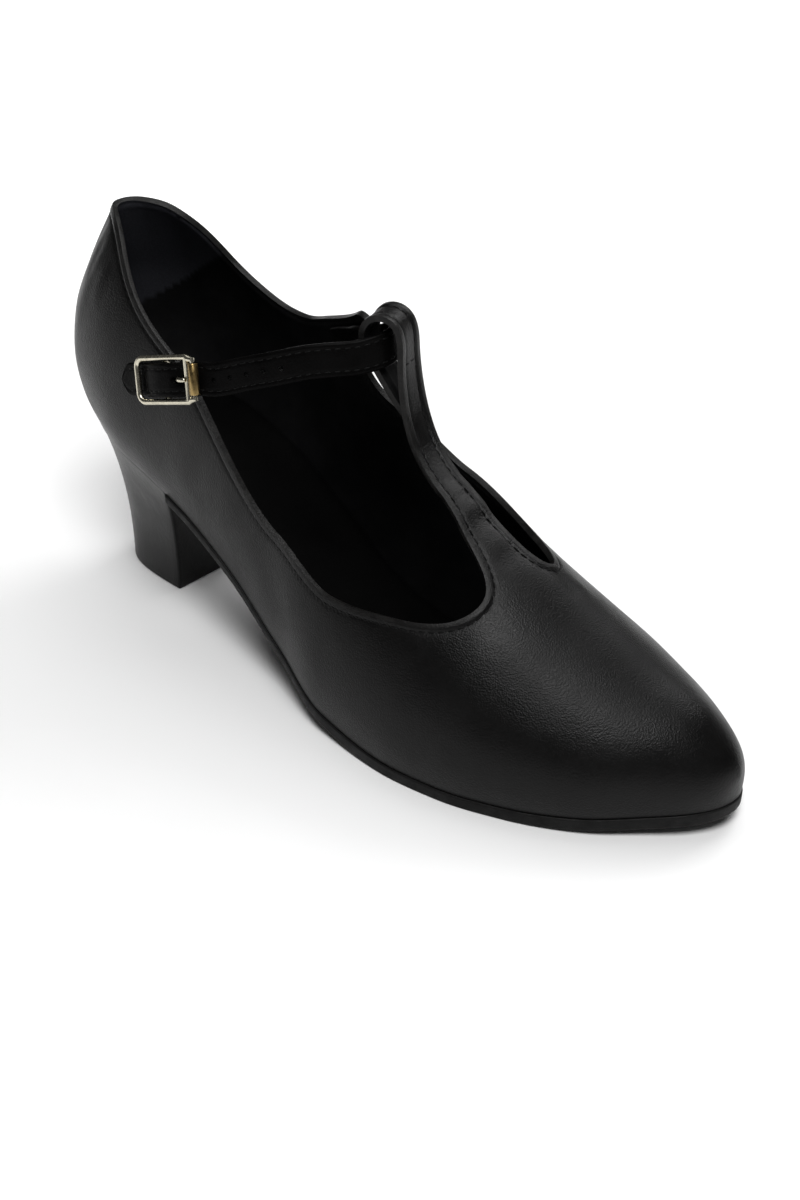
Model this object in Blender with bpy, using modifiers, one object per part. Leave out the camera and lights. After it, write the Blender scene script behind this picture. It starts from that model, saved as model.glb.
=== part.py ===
"""A right T-strap shoe with a covered heel, modelled on its last. +X is the wearer's right, +Y the toe, +Z up."""

import math

import bmesh
import bpy
import numpy as np
from mathutils import Vector
from mathutils.geometry import delaunay_2d_cdt

MM = 0.001

# Driving sizes of the last
LENGTH = 241 * MM
BALL_WIDTH = 80 * MM
SEAT_HEIGHT = 50 * MM
INSTEP_HEIGHT = 120 * MM

# Leather, sole and running gaps
UPPER_WALL = 1.8 * MM
INSOLE_THICKNESS = 2.0 * MM
SOLE_THICKNESS = 4.0 * MM
SHANK_THICKNESS = 3.0 * MM
SOLE_LIP = 0.4 * MM
GAP = 0.3 * MM

# Heel
HEEL_BASE_WIDTH = 33 * MM
HEEL_BASE_BACK = 11 * MM
HEEL_BASE_FRONT = 43 * MM
BREAST_AT = 0.212

# Straps and buckle
STRAP_WIDTH = 10 * MM
STRAP_THICKNESS = 1.8 * MM
TSTRAP_HALF_WIDTH = 5.4 * MM
TSTRAP_CROWN = 0.6 * MM
BUCKLE_LENGTH = 22.6 * MM
BUCKLE_HEIGHT = 14.6 * MM
BUCKLE_WIRE = 1.8 * MM
BUCKLE_CORNER = 2.6 * MM
CENTRE_BAR_WIRE = 1.6 * MM
CENTRE_BAR_SET_IN = 0.75 * MM
ROLLER_WIRE = 2.9 * MM
ROLLER_LENGTH = 9.4 * MM
ROLLER_PIN_WIRE = 1.2 * MM
PRONG_WIRE = 1.4 * MM
PRONG_PLAY = 0.15 * MM
PRONG_SLOT_PLAY = 0.7 * MM
TAB_WIDTH = 8 * MM
TAB_LENGTH = 9 * MM
TAB_THICKNESS = 0.9 * MM
TIP_LENGTH = 9.4 * MM
TIP_ROUND = 4.0 * MM
HOLE_WIDTH = 2.1 * MM
HOLE_LENGTH = 3.5 * MM

INSOLE_SETBACK = 0.5 * MM
SOLE_FULL_AT = 0.58
SOLE_THIN_AT = 0.42
HEEL_BASE_SQUARENESS = 3.2
HEEL_SETBACK = 0.4 * MM
HEEL_DRAW = 2.3

# Fineness of the meshes
HEEL_TURNS = 15
HEEL_LEVELS = 10
BREAST_STEPS = 6
SURFACE_STEP = 6.5 * MM
EDGE_STEP = 4.0 * MM
SOLE_TURNS = 64
STRAP_STEP = 2.2 * MM
WIRE_STEP = 1.1 * MM
ROUND_STEPS = 20

# at: share of LENGTH. lateral, medial, ridge_x and bulge: shares of BALL_WIDTH.
# feather: share of SEAT_HEIGHT. ridge: share of INSTEP_HEIGHT. The rest say how full the section is.
SECTION_COLUMNS = (
    "at", "lateral", "medial", "feather", "ridge", "ridge_x", "bulge", "flank", "shoulder_out", "shoulder_in",
)
SECTIONS = (
    (0.000, 0.000, 0.000, 1.100, 1.070, 0.000, 0.00, 0.50, 0.30, 0.30),
    (0.020, 0.170, 0.170, 1.090, 1.075, 0.000, 0.14, 0.50, 0.30, 0.30),
    (0.060, 0.265, 0.265, 1.060, 1.080, 0.000, 0.19, 0.50, 0.34, 0.34),
    (0.140, 0.330, 0.320, 1.005, 1.080, 0.000, 0.18, 0.50, 0.40, 0.40),
    (0.240, 0.345, 0.315, 0.870, 1.070, 0.000, 0.14, 0.50, 0.50, 0.50),
    (0.340, 0.365, 0.290, 0.640, 1.030, -0.01, 0.12, 0.50, 0.56, 0.56),
    (0.440, 0.405, 0.280, 0.345, 0.960, -0.02, 0.11, 0.46, 0.52, 0.70),
    (0.540, 0.475, 0.330, 0.145, 0.710, -0.03, 0.10, 0.46, 0.54, 0.96),
    (0.640, 0.490, 0.400, 0.085, 0.568, -0.03, 0.09, 0.45, 0.56, 0.78),
    (0.720, 0.460, 0.450, 0.080, 0.485, -0.05, 0.09, 0.46, 0.58, 0.60),
    (0.800, 0.380, 0.460, 0.085, 0.395, -0.09, 0.09, 0.48, 0.60, 0.60),
    (0.880, 0.255, 0.415, 0.110, 0.315, -0.12, 0.08, 0.50, 0.62, 0.62),
    (0.940, 0.105, 0.335, 0.145, 0.265, -0.15, 0.06, 0.52, 0.62, 0.62),
    (0.980, -0.015, 0.275, 0.170, 0.205, -0.165, 0.03, 0.52, 0.66, 0.66),
    (1.000, -0.165, 0.165, 0.185, 0.140, -0.165, 0.00, 0.52, 0.70, 0.70),
)

# How far the counter stands out behind the seat, by height above the seat: shares of LENGTH and INSTEP_HEIGHT
COUNTER_COLUMNS = ("above", "out")
COUNTER = (
    (0.000, 0.000),
    (0.083, 0.014),
    (0.183, 0.022),
    (0.300, 0.018),
    (0.417, 0.000),
    (0.550, -0.023),
    (0.670, -0.042),
)
COUNTER_REACH = 0.42

# The topline on each side, from the back seam to the strap. at: share of LENGTH. girth: 1 at the sole, 0 on the ridge
TOPLINE_COLUMNS = ("at", "girth")
TOPLINE_OUT = (
    (0.000, 0.272),
    (0.025, 0.280),
    (0.060, 0.315),
    (0.110, 0.407),
    (0.168, 0.510),
    (0.225, 0.568),
    (0.284, 0.612),
    (0.345, 0.686),
    (0.400, 0.718),
    (0.460, 0.703),
    (0.510, 0.660),
    (0.560, 0.605),
    (0.610, 0.532),
    (0.650, 0.468),
    (0.684, 0.395),
    (0.701, 0.310),
    (0.701, 0.235),
    (0.685, 0.180),
    (0.660, 0.142),
    (0.635, 0.115),
)
TOPLINE_IN = (
    (0.000, 0.272),
    (0.025, 0.285),
    (0.060, 0.330),
    (0.098, 0.425),
    (0.135, 0.535),
    (0.185, 0.588),
    (0.235, 0.592),
    (0.275, 0.560),
    (0.315, 0.490),
    (0.355, 0.410),
    (0.388, 0.320),
    (0.411, 0.255),
    (0.424, 0.260),
    (0.428, 0.325),
    (0.422, 0.398),
    (0.405, 0.440),
    (0.386, 0.490),
    (0.380, 0.535),
    (0.395, 0.562),
    (0.425, 0.560),
    (0.470, 0.528),
    (0.520, 0.462),
    (0.570, 0.385),
    (0.615, 0.325),
    (0.655, 0.275),
    (0.688, 0.232),
    (0.710, 0.180),
    (0.720, 0.120),
    (0.712, 0.072),
    (0.692, 0.052),
    (0.662, 0.050),
    (0.635, 0.058),
)

# The T-strap from the vamp up to its loop and back down inside: forward share of LENGTH, up share of INSTEP_HEIGHT
TSTRAP_COLUMNS = ("forward", "up")
TSTRAP_PATH = (
    (0.601, 0.604),
    (0.572, 0.636),
    (0.545, 0.676),
    (0.523, 0.735),
    (0.509, 0.805),
    (0.502, 0.870),
    (0.499, 0.912),
    (0.490, 0.953),
    (0.470, 0.971),
    (0.4485, 0.953),
    (0.4415, 0.908),
    (0.453, 0.855),
    (0.471, 0.800),
    (0.491, 0.742),
    (0.513, 0.690),
)
TSTRAP_ROOT = 0.635
TSTRAP_ANCHOR = 0.468
TSTRAP_TAIL_TAPER = 0.8
TSTRAP_DRIFT = -0.055
TSTRAP_TWIST = math.radians(18)
TSTRAP_BLEND = 14 * MM

# The ankle strap's root, sewn inside the medial ear: at and girth as in the topline, and its extra share of
# STRAP_THICKNESS away from the ear
STRAP_ROOT_COLUMNS = ("at", "girth", "inset")
STRAP_ROOT = (
    (0.348, 0.505, 0.10),
    (0.372, 0.450, 0.25),
    (0.397, 0.388, 0.50),
    (0.418, 0.325, 0.80),
)

# From the ear through the T-strap's loop to the lateral side: shares of BALL_WIDTH, LENGTH and INSTEP_HEIGHT
STRAP_FREE_COLUMNS = ("across", "forward", "up")
STRAP_FREE = (
    (-0.149, 0.436, 0.855),
    (-0.151, 0.4542, 0.872),
    (-0.1275, 0.4685, 0.886),
    (-0.090, 0.4758, 0.8885),
    (-0.045, 0.4765, 0.885),
    (0.000, 0.471, 0.879),
    (0.050, 0.459, 0.871),
    (0.106, 0.4455, 0.870),
    (0.175, 0.419, 0.860),
    (0.2375, 0.390, 0.839),
    (0.300, 0.3500, 0.808),
    (0.340, 0.3200, 0.784),
)
STRAP_LEAN = math.radians(13)

# Where the buckle and the strap's tip lie on the lateral quarter
BUCKLE_AT, BUCKLE_GIRTH = 0.252, 0.623
TIP_AT, TIP_GIRTH = 0.186, 0.702

# The strap through the buckle. along: share of half the buckle, + towards the tip. rise: 0 under its bars, 1 over the prong
BUCKLE_RUN_COLUMNS = ("along", "rise")
BUCKLE_RUN = (
    (-1.30, -0.18),
    (-1.00, 0.00),
    (-0.82, 0.33),
    (-0.65, 0.70),
    (-0.48, 0.94),
    (-0.29, 1.00),
    (0.00, 1.00),
    (0.29, 0.85),
    (0.50, 0.62),
    (0.75, 0.24),
    (1.00, 0.00),
    (1.25, -0.25),
)

# The prong from its ring to the bar. along as above. rise: 0 at the top of the ring, 1 lying on the bar
PRONG_COLUMNS = ("along", "rise")
PRONG = (
    (0.00, 0.00),
    (-0.28, -0.02),
    (-0.46, -0.01),
    (-0.60, 0.22),
    (-0.70, 0.62),
    (-0.80, 0.92),
    (-0.92, 1.00),
    (-1.06, 0.97),
)
PRONG_RING_START = math.radians(-160)
HOLE_AT = -0.64


def column(rows, columns, name):
    return np.array([row[columns.index(name)] for row in rows])


def smooth(x, y):
    """A curve through the points of a table that never overshoots them."""
    step = np.diff(x)
    slope = np.diff(y) / step
    before, after = slope[:-1], slope[1:]
    near, far = 2 * step[1:] + step[:-1], step[1:] + 2 * step[:-1]
    same_way = before * after > 0
    safe_before = np.where(same_way, before, 1.0)
    safe_after = np.where(same_way, after, 1.0)
    inner = np.where(same_way, (near + far) / (near / safe_before + far / safe_after), 0.0)
    tangent = np.concatenate([slope[:1], inner, slope[-1:]])

    def curve(at):
        at = np.clip(at, x[0], x[-1])
        i = np.clip(np.searchsorted(x, at, side="right") - 1, 0, len(x) - 2)
        t = (at - x[i]) / step[i]
        ends = y[i] * (1 + 2 * t) * (1 - t) ** 2 + y[i + 1] * t * t * (3 - 2 * t)
        bends = tangent[i] * t * (1 - t) ** 2 + tangent[i + 1] * t * t * (t - 1)
        return ends + step[i] * bends

    return curve


def fade(t):
    t = np.clip(t, 0, 1)
    return t * t * (3 - 2 * t)


def flow(points, step):
    """Points every step or so along a smooth curve through the given ones."""
    points = np.asarray(points, float)
    chord = np.linalg.norm(np.diff(points, axis=0), axis=1)
    along = np.concatenate([[0], np.cumsum(np.sqrt(chord * chord.mean()))])
    curves = [smooth_free(along, points[:, i]) for i in range(points.shape[1])]
    fine = np.stack([c(np.linspace(0, along[-1], 40 * len(points))) for c in curves], 1)
    length = np.concatenate([[0], np.cumsum(np.linalg.norm(np.diff(fine, axis=0), axis=1))])
    count = max(2, round(length[-1] / step) + 1)
    at = np.linspace(0, length[-1], count)
    return np.stack([np.interp(at, length, fine[:, i]) for i in range(points.shape[1])], 1)


def smooth_free(x, y):
    """A natural cubic through the points, for curves that turn back on themselves."""
    n = len(x)
    step = np.diff(x)
    system = np.eye(n)
    right = np.zeros(n)
    for i in range(1, n - 1):
        system[i, i - 1 : i + 2] = step[i - 1], 2 * (step[i - 1] + step[i]), step[i]
        right[i] = 6 * ((y[i + 1] - y[i]) / step[i] - (y[i] - y[i - 1]) / step[i - 1])
    bend = np.linalg.solve(system, right)

    def curve(at):
        i = np.clip(np.searchsorted(x, at, side="right") - 1, 0, n - 2)
        left, rest = at - x[i], x[i + 1] - at
        cubic = (bend[i] * rest**3 + bend[i + 1] * left**3) / (6 * step[i])
        line = (y[i] / step[i] - bend[i] * step[i] / 6) * rest
        return cubic + line + (y[i + 1] / step[i] - bend[i + 1] * step[i] / 6) * left

    return curve


def turn_of(at):
    """The surface's own lengthwise coordinate, 0 to 1, for a share of LENGTH."""
    return np.arccos(1 - 2 * np.clip(at, 0, 1)) / np.pi


def share_of(turn):
    return (1 - np.cos(np.pi * turn)) / 2


def section_curve(name, scale=1.0):
    curve = smooth(turn_of(column(SECTIONS, SECTION_COLUMNS, "at")), column(SECTIONS, SECTION_COLUMNS, name))
    return lambda turn: curve(turn) * scale


lateral_half = section_curve("lateral", BALL_WIDTH)
medial_half = section_curve("medial", BALL_WIDTH)
feather_height = section_curve("feather", SEAT_HEIGHT)
ridge_height = section_curve("ridge", INSTEP_HEIGHT)
ridge_across = section_curve("ridge_x", BALL_WIDTH)
side_bulge = section_curve("bulge", BALL_WIDTH)
flank_fullness = section_curve("flank")
shoulder_out = section_curve("shoulder_out")
shoulder_in = section_curve("shoulder_in")
counter_out = smooth(
    column(COUNTER, COUNTER_COLUMNS, "above") * INSTEP_HEIGHT, column(COUNTER, COUNTER_COLUMNS, "out") * LENGTH
)


def last_point(turn, girth):
    """A point on the outside of the last. girth is 1 at the lateral sole line, 0 on the ridge, -1 at the medial one."""
    turn, girth = np.broadcast_arrays(np.asarray(turn, float), np.asarray(girth, float))
    outer = girth >= 0
    side = np.where(outer, 1.0, -1.0)
    rise = 1 - np.abs(girth)
    foot = np.where(outer, lateral_half(turn), -medial_half(turn))
    low, top, middle = feather_height(turn), ridge_height(turn), ridge_across(turn)
    shoulder = np.where(outer, shoulder_out(turn), shoulder_in(turn))
    corners = (
        (foot, low),
        (foot + side * side_bulge(turn), low + flank_fullness(turn) * (top - low)),
        (middle + shoulder * (foot - middle), top),
        (middle, top),
    )
    weights = ((1 - rise) ** 3, 3 * rise * (1 - rise) ** 2, 3 * rise**2 * (1 - rise), rise**3)
    x = sum(w * c[0] for w, c in zip(weights, corners))
    z = sum(w * c[1] for w, c in zip(weights, corners))
    near_heel = fade(1 - turn / COUNTER_REACH)
    y = share_of(turn) * LENGTH - counter_out(z - feather_height(0.0)) * near_heel
    return np.stack([x, y, z], -1)


def last_normal(turn, girth):
    """The outward direction of the last there."""
    small = 1e-3
    lengthwise = last_point(turn + small, girth) - last_point(turn - small, girth)
    around = last_point(turn, girth + small) - last_point(turn, girth - small)
    normal = np.cross(around, lengthwise)
    return normal / np.linalg.norm(normal, axis=-1, keepdims=True)


# The flat pattern: turn and girth laid out in metres, so that its steps are about as long as those on the last
PATTERN_LENGTH = LENGTH * 1.25
PATTERN_GIRTH = BALL_WIDTH * 1.06


def tstrap_path():
    """The T-strap's centre line on its outer side, every half millimetre: distance, y and z."""
    root = last_point(turn_of(TSTRAP_ROOT), 0.0)[1:]
    rows = np.stack(
        [
            column(TSTRAP_PATH, TSTRAP_COLUMNS, "forward") * LENGTH,
            column(TSTRAP_PATH, TSTRAP_COLUMNS, "up") * INSTEP_HEIGHT,
        ],
        1,
    )
    ahead = last_point(turn_of(TSTRAP_ROOT + 0.02), 0.0)[1:]
    points = flow(np.concatenate([[ahead, root], rows]), 0.5 * MM)
    start = int(np.argmin(np.linalg.norm(points - root, axis=1)))
    points = points[start:]
    along = np.concatenate([[0], np.cumsum(np.linalg.norm(np.diff(points, axis=0), axis=1))])
    return along, points


TSTRAP_ALONG, TSTRAP_POINTS = tstrap_path()
TSTRAP_LENGTH = TSTRAP_ALONG[-1]


def tstrap_point(along, across):
    """A point on the T-strap's outer side, along it from its root and across it."""
    y = np.interp(along, TSTRAP_ALONG, TSTRAP_POINTS[:, 0])
    z = np.interp(along, TSTRAP_ALONG, TSTRAP_POINTS[:, 1])
    share = along / TSTRAP_LENGTH
    middle = ridge_across(turn_of(TSTRAP_ROOT)) + TSTRAP_DRIFT * BALL_WIDTH * fade(1.4 * share)
    anchor_y = TSTRAP_ANCHOR * LENGTH
    twist = TSTRAP_TWIST * fade(2.2 * share - 0.3)
    forward = y - anchor_y
    x = middle + across * np.cos(twist) - forward * np.sin(twist)
    y = anchor_y + across * np.sin(twist) + forward * np.cos(twist)
    crown = TSTRAP_CROWN * (across / TSTRAP_HALF_WIDTH) ** 2 * (1 - fade(2 * share))
    return np.stack([x, y, z - crown], -1)


def upper_point(pattern):
    """The upper's outer side for points of the flat pattern."""
    pattern = np.atleast_2d(pattern)
    root = turn_of(TSTRAP_ROOT)
    turn, girth = pattern[:, 0] / PATTERN_LENGTH, pattern[:, 1] / PATTERN_GIRTH
    points = last_point(np.clip(turn, 0, 1), np.clip(girth, -1, 1))
    along = (root - turn) * PATTERN_LENGTH
    strap = (along > 0) & (np.abs(pattern[:, 1]) < 2 * TSTRAP_HALF_WIDTH)
    across = last_point(root, girth[strap])[:, 0] - last_point(root, 0.0)[0]
    on_strap = tstrap_point(along[strap], across)
    mix = fade(along[strap] / TSTRAP_BLEND)[:, None]
    points[strap] = points[strap] * (1 - mix) + on_strap * mix
    return points


def topline(rows, side):
    turn = turn_of(column(rows, TOPLINE_COLUMNS, "at")) * PATTERN_LENGTH
    girth = side * column(rows, TOPLINE_COLUMNS, "girth") * PATTERN_GIRTH
    return np.stack([turn, girth], 1)


def strap_half_pattern():
    """The T-strap's half width as it is laid out on the pattern."""
    root = turn_of(TSTRAP_ROOT)
    slope = (last_point(root, 0.05)[0] - last_point(root, 0.0)[0]) / (0.05 * PATTERN_GIRTH)
    return TSTRAP_HALF_WIDTH / slope


def upper_outline(step):
    """The pattern's edge as one closed loop, from the lateral heel corner over the topline and back along the sole."""
    root = turn_of(TSTRAP_ROOT) * PATTERN_LENGTH
    half = strap_half_pattern()
    end = root - TSTRAP_LENGTH
    lead_in = root - 0.12 * TSTRAP_LENGTH
    tail = root - 0.8 * TSTRAP_LENGTH
    sides = []
    for rows, side in ((TOPLINE_OUT, 1), (TOPLINE_IN, -1)):
        strap_edge = [(lead_in, side * half), (tail, side * half), (end, side * TSTRAP_TAIL_TAPER * half)]
        sides.append(flow(np.concatenate([topline(rows, side), strap_edge]), step))
    lateral, medial = sides
    back_out = np.linspace((0, PATTERN_GIRTH), lateral[0], round(0.7 * PATTERN_GIRTH / step))[:-1]
    back_in = back_out[::-1] * (1, -1)
    across_end = np.linspace(lateral[-1], medial[-1], 5)[1:-1]
    toe = np.linspace((PATTERN_LENGTH, -PATTERN_GIRTH), (PATTERN_LENGTH, PATTERN_GIRTH), 9)
    sole = np.linspace(0, PATTERN_LENGTH, round(PATTERN_LENGTH / step))[1:-1]
    sole_in = np.stack([sole, np.full_like(sole, -PATTERN_GIRTH)], 1)
    sole_out = np.stack([sole[::-1], np.full_like(sole, PATTERN_GIRTH)], 1)
    return np.concatenate([back_out, lateral, across_end, medial[::-1], back_in, sole_in, toe, sole_out])


def inside(points, outline):
    """Whether each point lies inside the closed outline."""
    found = np.zeros(len(points), bool)
    for a, b in zip(outline, np.roll(outline, -1, axis=0)):
        crosses = (a[1] > points[:, 1]) != (b[1] > points[:, 1])
        rise = b[1] - a[1] if b[1] != a[1] else 1.0
        found ^= crosses & (points[:, 0] < a[0] + (points[:, 1] - a[1]) * (b[0] - a[0]) / rise)
    return found


def away_from(points, outline, distance):
    """Whether each point keeps the distance to the outline's edges."""
    nearest = np.full(len(points), np.inf)
    for a, b in zip(outline, np.roll(outline, -1, axis=0)):
        edge = b - a
        t = np.clip(((points - a) @ edge) / max(edge @ edge, 1e-18), 0, 1)
        nearest = np.minimum(nearest, np.linalg.norm(points - a - t[:, None] * edge, axis=1))
    return nearest > distance


def filled(outline, step):
    """The points and triangles of a flat outline, filled with an even lattice."""
    low, high = outline.min(0), outline.max(0)
    rows = np.arange(low[1], high[1], step * math.sqrt(3) / 2)
    lattice = []
    for i, y in enumerate(rows):
        across = np.arange(low[0] + (i % 2) * step / 2, high[0], step)
        lattice.append(np.stack([across, np.full_like(across, y)], 1))
    lattice = np.concatenate(lattice)
    lattice = lattice[inside(lattice, outline)]
    lattice = lattice[away_from(lattice, outline, 0.55 * step)]
    points = np.concatenate([outline, lattice])
    ring = [(i, (i + 1) % len(outline)) for i in range(len(outline))]
    found = delaunay_2d_cdt([Vector(p) for p in points], ring, [], 1, 1e-7)
    return np.array([tuple(p) for p in found[0]]), [tuple(face) for face in found[2]]


def mesh_object(name, points, faces, material, weld=0.05 * MM):
    mesh = bpy.data.meshes.new(name)
    mesh.from_pydata([tuple(p) for p in points], [], faces)
    work = bmesh.new()
    work.from_mesh(mesh)
    bmesh.ops.remove_doubles(work, verts=work.verts, dist=weld)
    bmesh.ops.recalc_face_normals(work, faces=work.faces)
    work.to_mesh(mesh)
    work.free()
    mesh.shade_smooth()
    mesh.materials.append(material)
    part = bpy.data.objects.new(name, mesh)
    PARTS.objects.link(part)
    return part


def thicken(part, thickness, offset):
    wall = part.modifiers.new("wall", "SOLIDIFY")
    wall.thickness = thickness
    wall.offset = offset
    wall.use_even_offset = True
    wall.use_quality_normals = True
    return wall


def make_upper(material):
    pattern, faces = filled(upper_outline(EDGE_STEP), SURFACE_STEP)
    upper = mesh_object("upper", upper_point(pattern), faces, material)
    bottom = min(upper.data.polygons, key=lambda face: abs(face.center.y - 0.8 * LENGTH) + abs(face.center.z - 1))
    toe_face = max(upper.data.polygons, key=lambda face: face.center.y)
    if toe_face.normal.y < 0 or bottom.normal.z < 0:
        upper.data.flip_normals()
    thicken(upper, UPPER_WALL, -1)
    return upper


def edge_loop(height, inset):
    """The upper's outline in plan at a height over its sole line, drawn in by inset: from heel to toe and back."""
    turns = np.linspace(0, 1, SOLE_TURNS)
    depth = np.clip(height / (3 * flank_fullness(turns) * (ridge_height(turns) - feather_height(turns))), 0, 0.3)
    lateral = last_point(turns, 1 - depth)[:, :2]
    medial = last_point(turns, depth - 1)[:, :2]
    loop = np.concatenate([lateral, medial[-2:0:-1]])
    before, after = np.roll(loop, 1, axis=0), np.roll(loop, -1, axis=0)
    tangent = after - before
    tangent /= np.linalg.norm(tangent, axis=1, keepdims=True)
    return loop + inset * np.stack([-tangent[:, 1], tangent[:, 0]], 1)


def sole_height(y):
    """The height of the upper's sole line at a place along the shoe."""
    return feather_height(turn_of(y / LENGTH))


def make_insole(material):
    outline = edge_loop(INSOLE_THICKNESS, UPPER_WALL + GAP + INSOLE_SETBACK)
    points, faces = filled(outline, 1.3 * SURFACE_STEP)
    bottom = sole_height(points[:, 1])
    return plate("insole", points, faces, bottom + INSOLE_THICKNESS, bottom, material)


def plate(name, points, faces, top, bottom, material):
    """A closed plate between two heights over one flat filled pattern."""
    count = len(points)
    edges = {edge for face in faces for edge in zip(face, face[1:] + face[:1])}
    rim = sorted((a, b) for a, b in edges if (b, a) not in edges)
    sides = [(a, b, b + count, a + count) for a, b in rim]
    under = [tuple(i + count for i in face[::-1]) for face in faces]
    both = np.concatenate([np.column_stack([points, top]), np.column_stack([points, bottom])])
    return mesh_object(name, both, faces + under + sides, material)


def sole_thickness(y):
    """Full under the forefoot, thinner along the arch."""
    waist = fade((SOLE_FULL_AT - y / LENGTH) / (SOLE_FULL_AT - SOLE_THIN_AT))
    return SOLE_THICKNESS + (SHANK_THICKNESS - SOLE_THICKNESS) * waist


def make_outsole(material):
    start = BREAST_AT * LENGTH + GAP
    outline = edge_loop(0, -SOLE_LIP)
    outline = outline[outline[:, 1] > start + 1 * MM]
    first = int(np.argmax(np.linalg.norm(outline - np.roll(outline, 1, axis=0), axis=1)))
    outline = np.roll(outline, -first, axis=0)
    ends = [np.array([outline[0][0], start]), np.array([outline[-1][0], start])]
    across = np.linspace(ends[1], ends[0], 8)
    outline = np.concatenate([outline, across])
    points, faces = filled(outline, 1.2 * SURFACE_STEP)
    top = sole_height(points[:, 1]) - GAP
    bottom = np.maximum(top - sole_thickness(points[:, 1]), 0.0)
    return plate("outsole", points, faces, top, bottom, material)


def heel_outline(turns_back):
    """The heel's top edge in plan: the sole line from breast to breast round the back, then across the breast."""
    turns = np.linspace(turn_of(BREAST_AT), 0, turns_back)
    lateral = last_point(turns, 1.0)
    medial = last_point(turns[:-1], -1.0)[::-1]
    around = np.concatenate([lateral, medial])
    across = np.linspace(around[-1], around[0], BREAST_STEPS + 1)[1:-1]
    return around, across


def make_heel(material):
    """A loft of rails from the sole line down to a square-backed base, drawn in quickly under the seat."""
    around, across = heel_outline(HEEL_TURNS)
    half = HEEL_BASE_WIDTH / 2
    depth = HEEL_BASE_FRONT - HEEL_BASE_BACK
    angle = np.linspace(0, math.pi, len(around))
    power = 2 / HEEL_BASE_SQUARENESS
    base_x = half * np.sign(np.cos(angle)) * np.abs(np.cos(angle)) ** power
    base_y = HEEL_BASE_FRONT - depth * np.sin(angle) ** power
    base = np.column_stack([base_x, base_y])
    breast = np.column_stack([np.linspace(-half, half, len(across) + 2)[1:-1], np.full(len(across), HEEL_BASE_FRONT)])
    top = np.concatenate([around, across])
    base = np.concatenate([base, breast])
    centre = np.array([0.0, 0.5 * BREAST_AT * LENGTH])
    inward = centre - top[:, :2]
    inward /= np.linalg.norm(inward, axis=1, keepdims=True)
    seat = top.copy()
    seat[:, :2] += inward * HEEL_SETBACK
    seat[:, 1] = np.minimum(seat[:, 1], BREAST_AT * LENGTH - GAP)
    seat[:, 2] = sole_height(seat[:, 1]) - GAP
    rings = []
    for down in np.linspace(0, 1, HEEL_LEVELS):
        drawn = 1 - (1 - down) ** HEEL_DRAW
        plan = seat[:, :2] + (base - seat[:, :2]) * drawn
        rings.append(np.column_stack([plan, seat[:, 2] * (1 - down)]))
    count = len(seat)
    points = np.concatenate(rings)
    faces = []
    for level in range(HEEL_LEVELS - 1):
        for i in range(count):
            j = (i + 1) % count
            faces.append((level * count + i, level * count + j, (level + 1) * count + j, (level + 1) * count + i))
    faces.append(tuple(range(count))[::-1])
    faces.append(tuple((HEEL_LEVELS - 1) * count + i for i in range(count)))
    return mesh_object("heel", points, faces, material)


# Heights over the quarter, in the buckle's own frame
BAR_UP = GAP + PRONG_WIRE + PRONG_PLAY + CENTRE_BAR_WIRE / 2
PRONG_RING = CENTRE_BAR_WIRE / 2 + PRONG_PLAY + PRONG_WIRE / 2
STRAP_UNDER_BARS = 2 * GAP + 2 * TAB_THICKNESS + STRAP_THICKNESS / 2
STRAP_OVER_PRONG = BAR_UP + PRONG_RING + PRONG_WIRE / 2 + GAP + STRAP_THICKNESS / 2
STRAP_LYING = 2 * GAP + STRAP_THICKNESS / 2
FRAME_UP = STRAP_UNDER_BARS + STRAP_THICKNESS / 2 + GAP + BUCKLE_WIRE / 2
PRONG_LYING = FRAME_UP + BUCKLE_WIRE / 2 + PRONG_PLAY + PRONG_WIRE / 2
BAR_ALONG = (BUCKLE_LENGTH - BUCKLE_WIRE) / 2
RAIL_ACROSS = (BUCKLE_HEIGHT - BUCKLE_WIRE) / 2
PIN_ALONG = -BAR_ALONG - BUCKLE_WIRE / 2 - 0.5 * GAP - ROLLER_WIRE / 2


def buckle_axes():
    """The quarter's point under the buckle's middle, and the directions towards the tip, up the shoe and outward."""
    middle = last_point(turn_of(BUCKLE_AT), BUCKLE_GIRTH)
    outward = last_normal(turn_of(BUCKLE_AT), BUCKLE_GIRTH)
    along = last_point(turn_of(TIP_AT), TIP_GIRTH) - middle
    along -= outward * (along @ outward)
    along /= np.linalg.norm(along)
    return middle, along, np.cross(along, outward), outward


def buckle_points(rows):
    """World points for rows of along, across and up in the buckle's own frame."""
    middle, *axes = buckle_axes()
    return middle + np.atleast_2d(rows) @ np.array(axes)


def in_buckle(along, up):
    """World points on the buckle's middle plane."""
    return buckle_points(np.column_stack([along, np.zeros(len(along)), up]))


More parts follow.
